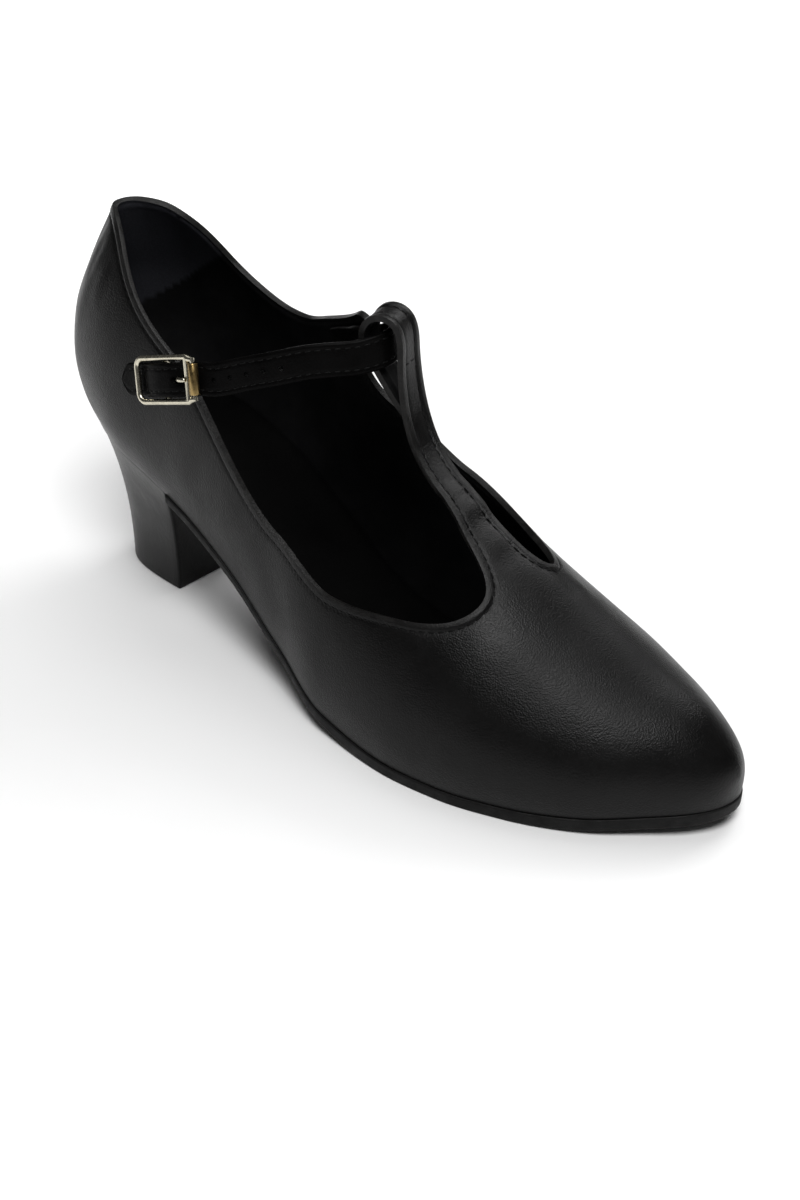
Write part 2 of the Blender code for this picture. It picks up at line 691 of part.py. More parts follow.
def strap_line():
    """The ankle strap's centre line with the direction it faces, from its root to its tip."""
    at = turn_of(column(STRAP_ROOT, STRAP_ROOT_COLUMNS, "at"))
    girth = -column(STRAP_ROOT, STRAP_ROOT_COLUMNS, "girth")
    root_facing = last_normal(at, girth)
    inset = column(STRAP_ROOT, STRAP_ROOT_COLUMNS, "inset") * STRAP_THICKNESS
    depth = UPPER_WALL + GAP + STRAP_THICKNESS / 2 + inset
    root = last_point(at, girth) - root_facing * depth[:, None]
    free = np.array(STRAP_FREE) * (BALL_WIDTH, LENGTH, INSTEP_HEIGHT)
    rise = column(BUCKLE_RUN, BUCKLE_RUN_COLUMNS, "rise")
    up = STRAP_UNDER_BARS + (STRAP_OVER_PRONG - STRAP_UNDER_BARS) * rise
    run = in_buckle(column(BUCKLE_RUN, BUCKLE_RUN_COLUMNS, "along") * BAR_ALONG, up)
    tip = in_buckle([BAR_ALONG + BUCKLE_WIRE / 2 + TIP_LENGTH], [STRAP_LYING])
    points = np.concatenate([root, free, run, tip])
    first, last = len(root), len(root) + len(free)
    ahead = points[first + 1 : last + 1] - points[first - 1 : last - 1]
    level = np.column_stack([-ahead[:, 1], ahead[:, 0], np.zeros(len(free))])
    level /= np.linalg.norm(level, axis=1, keepdims=True)
    free_facing = level * math.cos(STRAP_LEAN) + np.array([0, 0, math.sin(STRAP_LEAN)])
    run_facing = np.tile(buckle_axes()[3], (len(run) + 1, 1))
    facing = np.concatenate([root_facing, free_facing, run_facing])
    return flow(np.concatenate([points, facing * STRAP_WIDTH / 2], axis=1), STRAP_STEP)


def band(name, line, facing, half_widths, thickness, material):
    """A strap of even thickness along a line, given the direction that it faces and its half width at each point."""
    ahead = np.gradient(line, axis=0)
    across = np.cross(ahead, facing)
    across /= np.linalg.norm(across, axis=1, keepdims=True)
    edge = across * half_widths[:, None]
    points = np.concatenate([line - edge, line, line + edge])
    count = len(line)
    faces = []
    for row in (0, count):
        for i in range(row, row + count - 1):
            faces.append((i, i + 1, i + 1 + count, i + count))
    part = mesh_object(name, points, faces, material)
    thicken(part, thickness, 0)
    return part


def make_ankle_strap(material):
    rows = strap_line()
    line, facing = rows[:, :3], rows[:, 3:]
    to_tip = np.linalg.norm(line - line[-1], axis=1)
    round_off = np.clip(1 - to_tip / TIP_ROUND, 0, 0.97)
    half_widths = STRAP_WIDTH / 2 * np.sqrt(1 - round_off**2)
    strap = band("ankle_strap", line, facing, half_widths, STRAP_THICKNESS, material)
    turns = np.linspace(0, 2 * math.pi, ROUND_STEPS, endpoint=False)
    along = HOLE_AT * BAR_ALONG + HOLE_LENGTH / 2 * np.cos(turns)
    across = HOLE_WIDTH / 2 * np.sin(turns)
    cutter = prism("prong_hole", along, across, 0.0, 2 * STRAP_OVER_PRONG)
    combine(strap, cutter, "DIFFERENCE")
    return strap


def prism(name, along, across, low, high):
    """A hidden cutter over an outline in the buckle's own frame."""
    count = len(along)
    rings = [buckle_points(np.column_stack([along, across, np.full(count, up)])) for up in (low, high)]
    sides = [(i, (i + 1) % count, count + (i + 1) % count, count + i) for i in range(count)]
    caps = [tuple(range(count)), tuple(range(count, 2 * count))]
    return helper(mesh_object(name, np.concatenate(rings), sides + caps, STEEL))


def helper(part):
    """Keeps an object out of the model: it only shapes another."""
    PARTS.objects.unlink(part)
    HELPERS.objects.link(part)
    part.hide_render = True
    part.display_type = "WIRE"
    return part


def combine(part, other, operation):
    joint = part.modifiers.new(other.name, "BOOLEAN")
    joint.operation = operation
    joint.object = other


def wire(name, points, thickness, material, closed=False, scale=None):
    """A round wire along points, as a mesh with closed ends. scale is its thickness at each point."""
    curve = bpy.data.curves.new(name, "CURVE")
    curve.dimensions = "3D"
    curve.bevel_depth = thickness / 2
    curve.bevel_resolution = 2
    curve.use_fill_caps = True
    spline = curve.splines.new("POLY")
    spline.points.add(len(points) - 1)
    for i, point in enumerate(points):
        spline.points[i].co = (*point, 1)
        spline.points[i].radius = 1 if scale is None else scale[i]
    spline.use_cyclic_u = closed
    drawn = bpy.data.objects.new(name, curve)
    PARTS.objects.link(drawn)
    graph = bpy.context.evaluated_depsgraph_get()
    mesh = bpy.data.meshes.new_from_object(drawn.evaluated_get(graph))
    points = [vertex.co.copy() for vertex in mesh.vertices]
    faces = [tuple(face.vertices) for face in mesh.polygons]
    bpy.data.objects.remove(drawn)
    return mesh_object(name, points, faces, material, weld=0.01 * MM)


def corner(centre, radius, start, turn, count=5):
    """Points along, across round a corner."""
    angles = np.radians(np.linspace(start, start + turn, count))
    return np.column_stack([centre[0] + radius * np.cos(angles), centre[1] + radius * np.sin(angles)])


def make_buckle_frame(material):
    """A rounded wire rectangle that narrows to the roller's pin, with a bar inside it and a sunk bar for the prong."""
    r = BUCKLE_CORNER
    tip_side = BAR_ALONG - r
    shoulder = ROLLER_LENGTH / 2 + BUCKLE_WIRE / 2
    upper_half = np.concatenate(
        [
            corner((tip_side, RAIL_ACROSS - r), r, 0, 90),
            [(tip_side / 3, RAIL_ACROSS), (-tip_side / 3, RAIL_ACROSS), (-BAR_ALONG, RAIL_ACROSS)],
            [(-BAR_ALONG - 0.5 * BUCKLE_WIRE, RAIL_ACROSS - 0.3 * BUCKLE_WIRE), (PIN_ALONG, shoulder)],
        ]
    )
    pin = np.array([(PIN_ALONG, ROLLER_LENGTH / 2), (PIN_ALONG, 0), (PIN_ALONG, -ROLLER_LENGTH / 2)])
    outline = np.concatenate([upper_half, pin, upper_half[::-1] * (1, -1)])
    thin = ROLLER_PIN_WIRE / BUCKLE_WIRE
    scale = np.concatenate([np.ones(len(upper_half)), np.full(len(pin), thin), np.ones(len(upper_half))])
    loop = buckle_points(np.column_stack([outline, np.full(len(outline), FRAME_UP)]))
    frame = wire("buckle_frame", loop, BUCKLE_WIRE, material, closed=True, scale=scale)
    bar_ends = [(-BAR_ALONG, side * RAIL_ACROSS, FRAME_UP) for side in (1, -1)]
    bar = helper(wire("roller_side_bar", buckle_points(bar_ends), BUCKLE_WIRE, material))
    low = RAIL_ACROSS - CENTRE_BAR_SET_IN
    sunk = [(0, RAIL_ACROSS, FRAME_UP), (0, low + 0.3 * CENTRE_BAR_SET_IN, BAR_UP + CENTRE_BAR_WIRE)]
    sunk += [(0, low - 0.6 * CENTRE_BAR_WIRE, BAR_UP), (0, -low + 0.6 * CENTRE_BAR_WIRE, BAR_UP)]
    sunk += [(0, -low - 0.3 * CENTRE_BAR_SET_IN, BAR_UP + CENTRE_BAR_WIRE), (0, -RAIL_ACROSS, FRAME_UP)]
    centre_bar = helper(wire("centre_bar", buckle_points(sunk), CENTRE_BAR_WIRE, material))
    combine(frame, bar, "UNION")
    combine(frame, centre_bar, "UNION")
    return frame


def make_buckle_prong(material):
    angles = np.linspace(PRONG_RING_START, math.pi / 2, 14)[:-1]
    ring = np.column_stack([PRONG_RING * np.cos(angles), BAR_UP + PRONG_RING * np.sin(angles)])
    top = BAR_UP + PRONG_RING
    rise = column(PRONG, PRONG_COLUMNS, "rise")
    shank = np.column_stack([column(PRONG, PRONG_COLUMNS, "along") * BAR_ALONG, top + (PRONG_LYING - top) * rise])
    path = flow(np.concatenate([ring, shank]), WIRE_STEP)
    return wire("buckle_prong", in_buckle(path[:, 0], path[:, 1]), PRONG_WIRE, material)


def make_buckle_roller(material):
    """A short tube that turns on the frame's pin."""
    inner = ROLLER_PIN_WIRE / 2 + PRONG_PLAY
    half = ROLLER_LENGTH / 2 - PRONG_PLAY
    profile = [(inner, -half), (inner, half), (ROLLER_WIRE / 2, half), (ROLLER_WIRE / 2, -half)]
    points = []
    for angle in np.linspace(0, 2 * math.pi, ROUND_STEPS, endpoint=False):
        for radius, across in profile:
            points.append((PIN_ALONG + radius * math.cos(angle), across, FRAME_UP + radius * math.sin(angle)))
    faces = []
    for turn in range(ROUND_STEPS):
        here, there = 4 * turn, 4 * ((turn + 1) % ROUND_STEPS)
        for k in range(4):
            faces.append((here + k, here + (k + 1) % 4, there + (k + 1) % 4, there + k))
    return mesh_object("buckle_roller", buckle_points(points), faces, material)


def make_buckle_tab(material):
    """The strip that holds the buckle: two layers on the quarter that meet round the centre bar, slotted for the prong."""
    lower = GAP + TAB_THICKNESS / 2
    upper = lower + TAB_THICKNESS + GAP
    ring = CENTRE_BAR_WIRE / 2 + GAP + TAB_THICKNESS / 2
    angles = np.radians(np.linspace(270, 30, 11))
    round_bar = np.column_stack([ring * np.cos(angles), BAR_UP + ring * np.sin(angles)])
    path = np.concatenate(
        [
            [(TAB_LENGTH, lower), (0.6 * TAB_LENGTH, lower), (0.25 * TAB_LENGTH, lower + 0.2 * TAB_THICKNESS)],
            round_bar,
            [(0.36 * TAB_LENGTH, upper + 0.3 * TAB_THICKNESS), (0.55 * TAB_LENGTH, upper), (TAB_LENGTH, upper)],
        ]
    )
    path = flow(path, WIRE_STEP)
    line = in_buckle(path[:, 0], path[:, 1])
    ahead = np.gradient(line, axis=0)
    facing = np.cross(buckle_axes()[2], ahead)
    half_widths = np.full(len(line), TAB_WIDTH / 2)
    tab = band("buckle_tab", line, facing, half_widths, TAB_THICKNESS, material)
    slot = PRONG_RING + PRONG_WIRE / 2 + GAP
    across = PRONG_WIRE / 2 + PRONG_SLOT_PLAY
    outline = np.array([(-2 * slot, -across), (slot, -across), (slot, across), (-2 * slot, across)])
    combine(tab, prism("prong_slot", outline[:, 0], outline[:, 1], -GAP, 2 * BAR_UP), "DIFFERENCE")
    return tab


def stand_on_origin():
    """Moves the whole shoe so that the middle of its box stands over the origin."""
    bpy.context.view_layer.update()
    graph = bpy.context.evaluated_depsgraph_get()
    corners = np.array([place for part in PARTS.objects for place in part.evaluated_get(graph).bound_box])
    middle = (corners.min(0) + corners.max(0)) / 2
    origin = bpy.data.objects.new("shoe_origin", None)
    PARTS.objects.link(origin)
    origin.location = (-middle[0], -middle[1], 0)
    for part in (*PARTS.objects, *HELPERS.objects):
        if part is not origin:
            part.parent = origin


def new_material(name, colour, roughness, metallic=0.0):
    material = bpy.data.materials.new(name)
    material.use_nodes = True
    shader = material.node_tree.nodes["Principled BSDF"]
    shader.inputs["Base Color"].default_value = (*colour, 1)
    shader.inputs["Roughness"].default_value = roughness
    shader.inputs["Metallic"].default_value = metallic
    return material


for old in list(bpy.data.objects):
    bpy.data.objects.remove(old)
PARTS = bpy.data.collections.new("t_strap_shoe")
bpy.context.scene.collection.children.link(PARTS)
HELPERS = bpy.data.collections.new("helpers")
bpy.context.scene.collection.children.link(HELPERS)

LEATHER = new_material("black_leather", (0.012, 0.012, 0.013), 0.42)
SOLE = new_material("sole_leather", (0.018, 0.017, 0.016), 0.6)
LINING = new_material("insole_lining", (0.016, 0.016, 0.018), 0.7)
STEEL = new_material("plated_steel", (0.58, 0.53, 0.42), 0.28, metallic=1.0)
make_upper(LEATHER)
make_insole(LINING)
make_outsole(SOLE)
make_heel(LEATHER)
make_ankle_strap(LEATHER)
make_buckle_frame(STEEL)
make_buckle_prong(STEEL)
make_buckle_roller(STEEL)
make_buckle_tab(LEATHER)
stand_on_origin()
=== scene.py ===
"""The looks of a black leather T-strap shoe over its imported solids. +X: wearer's right, +Y: toe, +Z: up."""

import math

import bmesh
import bpy
import numpy as np
from mathutils import Matrix, Vector, noise
from mathutils.geometry import delaunay_2d_cdt
from mathutils.kdtree import KDTree


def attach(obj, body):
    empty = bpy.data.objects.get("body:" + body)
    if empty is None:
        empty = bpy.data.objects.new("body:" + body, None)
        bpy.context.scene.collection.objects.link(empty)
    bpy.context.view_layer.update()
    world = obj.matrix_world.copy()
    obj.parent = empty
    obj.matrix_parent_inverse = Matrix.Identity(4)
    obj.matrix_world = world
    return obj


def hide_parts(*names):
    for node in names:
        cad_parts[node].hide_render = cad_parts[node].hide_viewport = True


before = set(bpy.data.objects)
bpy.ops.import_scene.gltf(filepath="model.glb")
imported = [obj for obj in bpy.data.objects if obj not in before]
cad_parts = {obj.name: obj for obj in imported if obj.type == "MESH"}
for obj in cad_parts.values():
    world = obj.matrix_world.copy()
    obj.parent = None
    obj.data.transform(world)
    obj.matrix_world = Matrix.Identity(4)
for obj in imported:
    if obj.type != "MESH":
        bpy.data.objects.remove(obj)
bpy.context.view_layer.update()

MM = 0.001

# Driving sizes of the last
LENGTH = 241 * MM
BALL_WIDTH = 80 * MM
SEAT_HEIGHT = 50 * MM
INSTEP_HEIGHT = 120 * MM

# Leather, sole and running gaps
UPPER_WALL = 1.8 * MM
INSOLE_THICKNESS = 2.0 * MM
SOLE_THICKNESS = 4.0 * MM
SHANK_THICKNESS = 3.0 * MM
SOLE_LIP = 0.4 * MM
GAP = 0.3 * MM

# Heel
HEEL_BASE_WIDTH = 33 * MM
HEEL_BASE_BACK = 11 * MM
HEEL_BASE_FRONT = 43 * MM
BREAST_AT = 0.212

# Straps and buckle
STRAP_WIDTH = 10 * MM
STRAP_THICKNESS = 1.8 * MM
TSTRAP_HALF_WIDTH = 5.4 * MM
TSTRAP_CROWN = 0.6 * MM
BUCKLE_LENGTH = 22.6 * MM
BUCKLE_HEIGHT = 14.6 * MM
BUCKLE_WIRE = 1.8 * MM
BUCKLE_CORNER = 2.6 * MM
CENTRE_BAR_WIRE = 1.6 * MM
CENTRE_BAR_SET_IN = 0.75 * MM
ROLLER_WIRE = 2.9 * MM
ROLLER_LENGTH = 9.4 * MM
ROLLER_PIN_WIRE = 1.2 * MM
PRONG_WIRE = 1.4 * MM
PRONG_PLAY = 0.15 * MM
PRONG_SLOT_PLAY = 0.7 * MM
TAB_WIDTH = 8 * MM
TAB_LENGTH = 9 * MM
TAB_THICKNESS = 0.9 * MM
TIP_LENGTH = 9.4 * MM
TIP_ROUND = 4.0 * MM
HOLE_WIDTH = 2.1 * MM
HOLE_LENGTH = 3.5 * MM

INSOLE_SETBACK = 0.5 * MM
SOLE_FULL_AT = 0.58
SOLE_THIN_AT = 0.42
HEEL_BASE_SQUARENESS = 3.2
HEEL_SETBACK = 0.4 * MM
HEEL_DRAW = 2.3

# Fineness of the dressed meshes
UPPER_STEP = 1.7 * MM
TOPLINE_STEP = 1.2 * MM
PLATE_STEP = 3.0 * MM
SOLE_TURNS = 240
HEEL_TURNS = 70
HEEL_LEVELS = 30
BREAST_STEPS = 22
STRAP_STEP = 0.9 * MM
WIRE_STEP = 0.35 * MM
ROUND_STEPS = 56
RIM_ROUND = 0.62 * MM
RIM_STEP = 0.25 * MM
INSOLE_EASE = 0.5 * MM
OUTSOLE_EASE = 0.55 * MM
HEEL_EASE = 0.7 * MM

# The folded edge along the topline, by distance from it
FOLD_WIDTH = 1.7 * MM
FOLD_LIFT = 0.30 * MM
STITCH_IN = 2.4 * MM
CHANNEL_WIDTH = 0.42 * MM
CHANNEL_DEPTH = 0.24 * MM
EDGE_ROWS = (0.8 * MM, 1.4 * MM, 1.9 * MM, 2.4 * MM, 2.9 * MM, 3.7 * MM)
BACK_SEAM_COLUMNS = (1.1 * MM, 2.2 * MM, 3.6 * MM)
BACK_SEAM_STEP = 1.5 * MM
BACK_SEAM_DEPTH = 0.22 * MM
BACK_SEAM_WIDTH = 0.55 * MM

# Stitches
STITCH_LENGTH = 2.0 * MM
STITCH_GAP = 0.8 * MM
THREAD = 0.46 * MM
THREAD_SIDES = 7
THREAD_STEPS = 8
STRAP_STITCH_IN = 1.75 * MM
TIP_SEAM_IN = 2.2 * MM
TIP_SEAM_REACH = 2.6 * MM
TIP_SEAM_BOW = 1.1 * MM
CROSS_SEAM_ALONG = 49.5 * MM
TAIL_SEAM_ALONG = 111.0 * MM

# A strap's rounded edge, crown and stitch channel
STRAP_ROUND_OFF = 0.7 * MM
STRAP_CROWN = 0.12 * MM
STRAP_CHANNEL_DEPTH = 0.2 * MM
STRAP_CHANNEL_WIDTH = 0.4 * MM

# Holes of the ankle strap, measured from its tip
HOLE_FIRST = 39.7 * MM
HOLE_PITCH = 5.4 * MM
HOLE_COUNT = 5
HOLE_ROUND = 1.5 * MM

# Creases placed on the upper: three points of their line, as at and girth of the topline's tables,
# then half width and depth in millimetres. A ridge has a negative depth.
CREASES = (
    (0.612, 0.075, 0.606, 0.000, 0.612, -0.070, 1.8, 0.42),
    (0.630, 0.100, 0.624, 0.010, 0.630, -0.085, 2.0, -0.30),
    (0.650, 0.130, 0.643, 0.020, 0.650, -0.050, 2.3, 0.36),
    (0.674, 0.120, 0.668, 0.030, 0.678, -0.040, 2.8, -0.26),
    (0.697, 0.130, 0.692, 0.040, 0.706, -0.040, 3.0, 0.24),
    (0.731, -0.108, 0.748, -0.094, 0.766, -0.080, 2.2, 0.28),
    (0.732, -0.158, 0.750, -0.166, 0.770, -0.170, 2.4, -0.24),
    (0.712, 0.290, 0.724, 0.300, 0.745, 0.318, 2.4, 0.20),
    (0.050, 0.385, 0.046, 0.460, 0.050, 0.540, 2.0, 0.34),
    (0.082, 0.450, 0.080, 0.520, 0.086, 0.590, 2.6, -0.22),
    (0.028, 0.330, 0.024, 0.400, 0.026, 0.480, 1.6, 0.22),
    (0.330, 0.720, 0.300, 0.800, 0.285, 0.890, 5.0, 0.30),
    (0.370, 0.770, 0.345, 0.850, 0.335, 0.930, 5.0, -0.24),
    (0.420, 0.760, 0.440, 0.830, 0.470, 0.890, 5.5, 0.28),
    (0.500, 0.720, 0.530, 0.770, 0.560, 0.810, 6.0, 0.22),
    (0.300, -0.640, 0.320, -0.730, 0.350, -0.800, 5.0, 0.30),
    (0.470, -0.620, 0.510, -0.680, 0.560, -0.700, 5.5, 0.28),
    (0.590, -0.480, 0.620, -0.560, 0.640, -0.660, 5.0, 0.24),
    (0.455, 0.035, 0.456, 0.000, 0.455, -0.035, 1.6, 0.20),
    (0.482, 0.038, 0.484, 0.000, 0.482, -0.038, 1.8, -0.16),
)
WAVE_SIZE = 34 * MM
WAVE_HEIGHT = 0.22 * MM

# The camera, in the last's own frame, and the length of its lens in pixels of a picture 1200 high
CAMERA_PLACE = (319.14 * MM, 406.93 * MM, 317.82 * MM)
CAMERA_YAW = math.radians(228.67)
CAMERA_PITCH = math.radians(34.33)
CAMERA_ROLL = math.radians(1.67)
CAMERA_FOCUS = 1696.8
PICTURE_HEIGHT = 1200
SENSOR = 36

# The suede grip at the back of the lining, and the insole's dish
GRIP_FLOOR = 0.688
GRIP_LEAN = 1.31
INSOLE_DISH = 0.5 * MM

# Colours, matched
BLACK = (0.0018, 0.0017, 0.0017)
SCUFF = (0.008, 0.008, 0.0076)
# The topline rim's lighter tone: partly rubbed wear, partly a painted highlight of the folded edge
RUBBED_EDGE_AND_HIGHLIGHT = (0.016, 0.0155, 0.015)
LINING_BLACK = (0.0048, 0.0048, 0.0050)
INSOLE_BLACK = (0.0006, 0.0006, 0.0006)
GRIP = (0.0220, 0.0225, 0.0270)
SOLE_WEAR = (0.012, 0.011, 0.010)
THREAD_BLACK = (0.0020, 0.0020, 0.0020)
CHAMPAGNE = (0.66, 0.62, 0.50)
# The roller's darker, browner gold is the plating with painted shade and a painted darker reflection
PAINTED_SHADE_GOLD = (0.34, 0.24, 0.10)

# The leather's grain and gloss
GRAIN_DEPTH = 0.075 * MM
LEATHER_ROUGHNESS = (0.27, 0.40)

# Light. Square lamps: name, place and size in metres, watts
WORLD_LIGHT = 0.06
LAMPS = (
    ("key", (0.36, 0.38, 1.12), 0.50, 11.0),
    ("top", (-0.35, -0.30, 1.15), 1.00, 6.5),
    ("back_left", (-1.05, -0.02, 0.98), 0.60, 6.0),
)
LIT_POINT = (0.0, 0.0, 0.04)

# The floor's glow grows between two distances from the middle
FLOOR_SIZE = 12
FLOOR_GLOW = 0.42
GLOW_FROM, GLOW_TO = 0.15, 0.46

# The last's cross-sections. at: share of LENGTH. lateral, medial, ridge_x and bulge: shares of BALL_WIDTH.
# feather: share of SEAT_HEIGHT. ridge: share of INSTEP_HEIGHT. The rest say how full the section is.
SECTION_COLUMNS = (
    "at", "lateral", "medial", "feather", "ridge", "ridge_x", "bulge", "flank", "shoulder_out", "shoulder_in",
)
SECTIONS = (
    (0.000, 0.000, 0.000, 1.100, 1.070, 0.000, 0.00, 0.50, 0.30, 0.30),
    (0.020, 0.170, 0.170, 1.090, 1.075, 0.000, 0.14, 0.50, 0.30, 0.30),
    (0.060, 0.265, 0.265, 1.060, 1.080, 0.000, 0.19, 0.50, 0.34, 0.34),
    (0.140, 0.330, 0.320, 1.005, 1.080, 0.000, 0.18, 0.50, 0.40, 0.40),
    (0.240, 0.345, 0.315, 0.870, 1.070, 0.000, 0.14, 0.50, 0.50, 0.50),
    (0.340, 0.365, 0.290, 0.640, 1.030, -0.01, 0.12, 0.50, 0.56, 0.56),
    (0.440, 0.405, 0.280, 0.345, 0.960, -0.02, 0.11, 0.46, 0.52, 0.70),
    (0.540, 0.475, 0.330, 0.145, 0.710, -0.03, 0.10, 0.46, 0.54, 0.96),
    (0.640, 0.490, 0.400, 0.085, 0.568, -0.03, 0.09, 0.45, 0.56, 0.78),
    (0.720, 0.460, 0.450, 0.080, 0.485, -0.05, 0.09, 0.46, 0.58, 0.60),
    (0.800, 0.380, 0.460, 0.085, 0.395, -0.09, 0.09, 0.48, 0.60, 0.60),
    (0.880, 0.255, 0.415, 0.110, 0.315, -0.12, 0.08, 0.50, 0.62, 0.62),
    (0.940, 0.105, 0.335, 0.145, 0.265, -0.15, 0.06, 0.52, 0.62, 0.62),
    (0.980, -0.015, 0.275, 0.170, 0.205, -0.165, 0.03, 0.52, 0.66, 0.66),
    (1.000, -0.165, 0.165, 0.185, 0.140, -0.165, 0.00, 0.52, 0.70, 0.70),
)

# Heights above the seat and how far the counter stands out there: shares of INSTEP_HEIGHT and LENGTH
COUNTER = (
    (0.000, 0.000), (0.083, 0.014), (0.183, 0.022), (0.300, 0.018), (0.417, 0.000), (0.550, -0.023),
    (0.670, -0.042),
)
COUNTER_REACH = 0.42

# The topline on each side, from the back seam to the strap, as at and girth. at: share of LENGTH.
# girth: 1 at the sole, 0 on the ridge
TOPLINE_OUT = (
    (0.000, 0.272), (0.025, 0.280), (0.060, 0.315), (0.110, 0.407), (0.168, 0.510), (0.225, 0.568),
    (0.284, 0.612), (0.345, 0.686), (0.400, 0.718), (0.460, 0.703), (0.510, 0.660), (0.560, 0.605),
    (0.610, 0.532), (0.650, 0.468), (0.684, 0.395), (0.701, 0.310), (0.701, 0.235), (0.685, 0.180),
    (0.660, 0.142), (0.635, 0.115),
)
TOPLINE_IN = (
    (0.000, 0.272), (0.025, 0.285), (0.060, 0.330), (0.098, 0.425), (0.135, 0.535), (0.185, 0.588),
    (0.235, 0.592), (0.275, 0.560), (0.315, 0.490), (0.355, 0.410), (0.388, 0.320), (0.411, 0.255),
    (0.424, 0.260), (0.428, 0.325), (0.422, 0.398), (0.405, 0.440), (0.386, 0.490), (0.380, 0.535),
    (0.395, 0.562), (0.425, 0.560), (0.470, 0.528), (0.520, 0.462), (0.570, 0.385), (0.615, 0.325),
    (0.655, 0.275), (0.688, 0.232), (0.710, 0.180), (0.720, 0.120), (0.712, 0.072), (0.692, 0.052),
    (0.662, 0.050), (0.635, 0.058),
)

# The T-strap from the vamp up to its loop and back down inside: shares of LENGTH forward and INSTEP_HEIGHT up
TSTRAP_PATH = (
    (0.601, 0.604), (0.572, 0.636), (0.545, 0.676), (0.523, 0.735), (0.509, 0.805), (0.502, 0.870),
    (0.499, 0.912), (0.490, 0.953), (0.470, 0.971), (0.4485, 0.953), (0.4415, 0.908), (0.453, 0.855),
    (0.471, 0.800), (0.491, 0.742), (0.513, 0.690),
)
TSTRAP_ROOT = 0.635
TSTRAP_ANCHOR = 0.468
TSTRAP_LEAD_IN = 0.12
TSTRAP_TAIL_AT = 0.8
TSTRAP_TAIL_TAPER = 0.8
TSTRAP_DRIFT = -0.055
TSTRAP_TWIST = math.radians(18)
TSTRAP_BLEND = 14 * MM

# The ankle strap's root, sewn inside the medial ear: at and girth as in the topline, and its extra share of
# STRAP_THICKNESS away from the ear
STRAP_ROOT = (
    (0.348, 0.505, 0.10), (0.372, 0.450, 0.25), (0.397, 0.388, 0.50), (0.418, 0.325, 0.80),
)

# From the ear through the T-strap's loop to the lateral side: shares of BALL_WIDTH, LENGTH and INSTEP_HEIGHT
STRAP_FREE = (
    (-0.149, 0.436, 0.855), (-0.151, 0.4542, 0.872), (-0.1275, 0.4685, 0.886), (-0.090, 0.4758, 0.8885),
    (-0.045, 0.4765, 0.885), (0.000, 0.471, 0.879), (0.050, 0.459, 0.871), (0.106, 0.4455, 0.870),
    (0.175, 0.419, 0.860), (0.2375, 0.390, 0.839), (0.300, 0.3500, 0.808), (0.340, 0.3200, 0.784),
)
STRAP_LEAN = math.radians(13)

# Where the buckle and the strap's tip lie on the lateral quarter
BUCKLE_AT, BUCKLE_GIRTH = 0.252, 0.623
TIP_AT, TIP_GIRTH = 0.186, 0.702

# The strap through the buckle, as along and rise. along: share of half the buckle, + towards the tip.
# rise: 0 under its bars, 1 over the prong
BUCKLE_RUN = (
    (-1.30, -0.18), (-1.00, 0.00), (-0.82, 0.33), (-0.65, 0.70), (-0.48, 0.94), (-0.29, 1.00),
    (0.00, 1.00), (0.29, 0.85), (0.50, 0.62), (0.75, 0.24), (1.00, 0.00), (1.25, -0.25),
)

# The prong from its ring to the bar, as along and rise. rise: 0 at the top of the ring, 1 lying on the bar
PRONG = (
    (0.00, 0.00), (-0.28, -0.02), (-0.46, -0.01), (-0.60, 0.22), (-0.70, 0.62), (-0.80, 0.92),
    (-0.92, 1.00), (-1.06, 0.97),
)
PRONG_RING_START = math.radians(-160)
HOLE_AT = -0.64


def lengths(points):
    """How far along its line each point lies."""
    return np.concatenate([[0], np.cumsum(np.linalg.norm(np.diff(points, axis=0), axis=1))])


def unit(vectors):
    return vectors / np.linalg.norm(vectors, axis=-1, keepdims=True)


def smooth(x, y):
    """A curve through the points of a table that never overshoots them."""
    step = np.diff(x)
    slope = np.diff(y) / step
    before, after = slope[:-1], slope[1:]
    near, far = 2 * step[1:] + step[:-1], step[1:] + 2 * step[:-1]
    same_way = before * after > 0
    safe_before = np.where(same_way, before, 1.0)
    safe_after = np.where(same_way, after, 1.0)
    inner = np.where(same_way, (near + far) / (near / safe_before + far / safe_after), 0.0)
    tangent = np.concatenate([slope[:1], inner, slope[-1:]])

    def curve(at):
        at = np.clip(at, x[0], x[-1])
        i = np.clip(np.searchsorted(x, at, side="right") - 1, 0, len(x) - 2)
        t = (at - x[i]) / step[i]
        ends = y[i] * (1 + 2 * t) * (1 - t) ** 2 + y[i + 1] * t * t * (3 - 2 * t)
        bends = tangent[i] * t * (1 - t) ** 2 + tangent[i + 1] * t * t * (t - 1)
        return ends + step[i] * bends

    return curve


def fade(t):
    t = np.clip(t, 0, 1)
    return t * t * (3 - 2 * t)


def flow(points, step):
    """Points every step or so along a smooth curve through the given ones."""
    points = np.asarray(points, float)
    chord = np.linalg.norm(np.diff(points, axis=0), axis=1)
    along = np.concatenate([[0], np.cumsum(np.sqrt(chord * chord.mean()))])
    curves = [smooth_free(along, points[:, i]) for i in range(points.shape[1])]
    fine = np.stack([c(np.linspace(0, along[-1], 40 * len(points))) for c in curves], 1)
    length = lengths(fine)
    return at_lengths(np.linspace(0, length[-1], max(2, round(length[-1] / step) + 1)), length, fine)


def at_lengths(at, length, points):
    """Points at given distances along a line."""
    return np.stack([np.interp(at, length, points[:, i]) for i in range(points.shape[1])], 1)


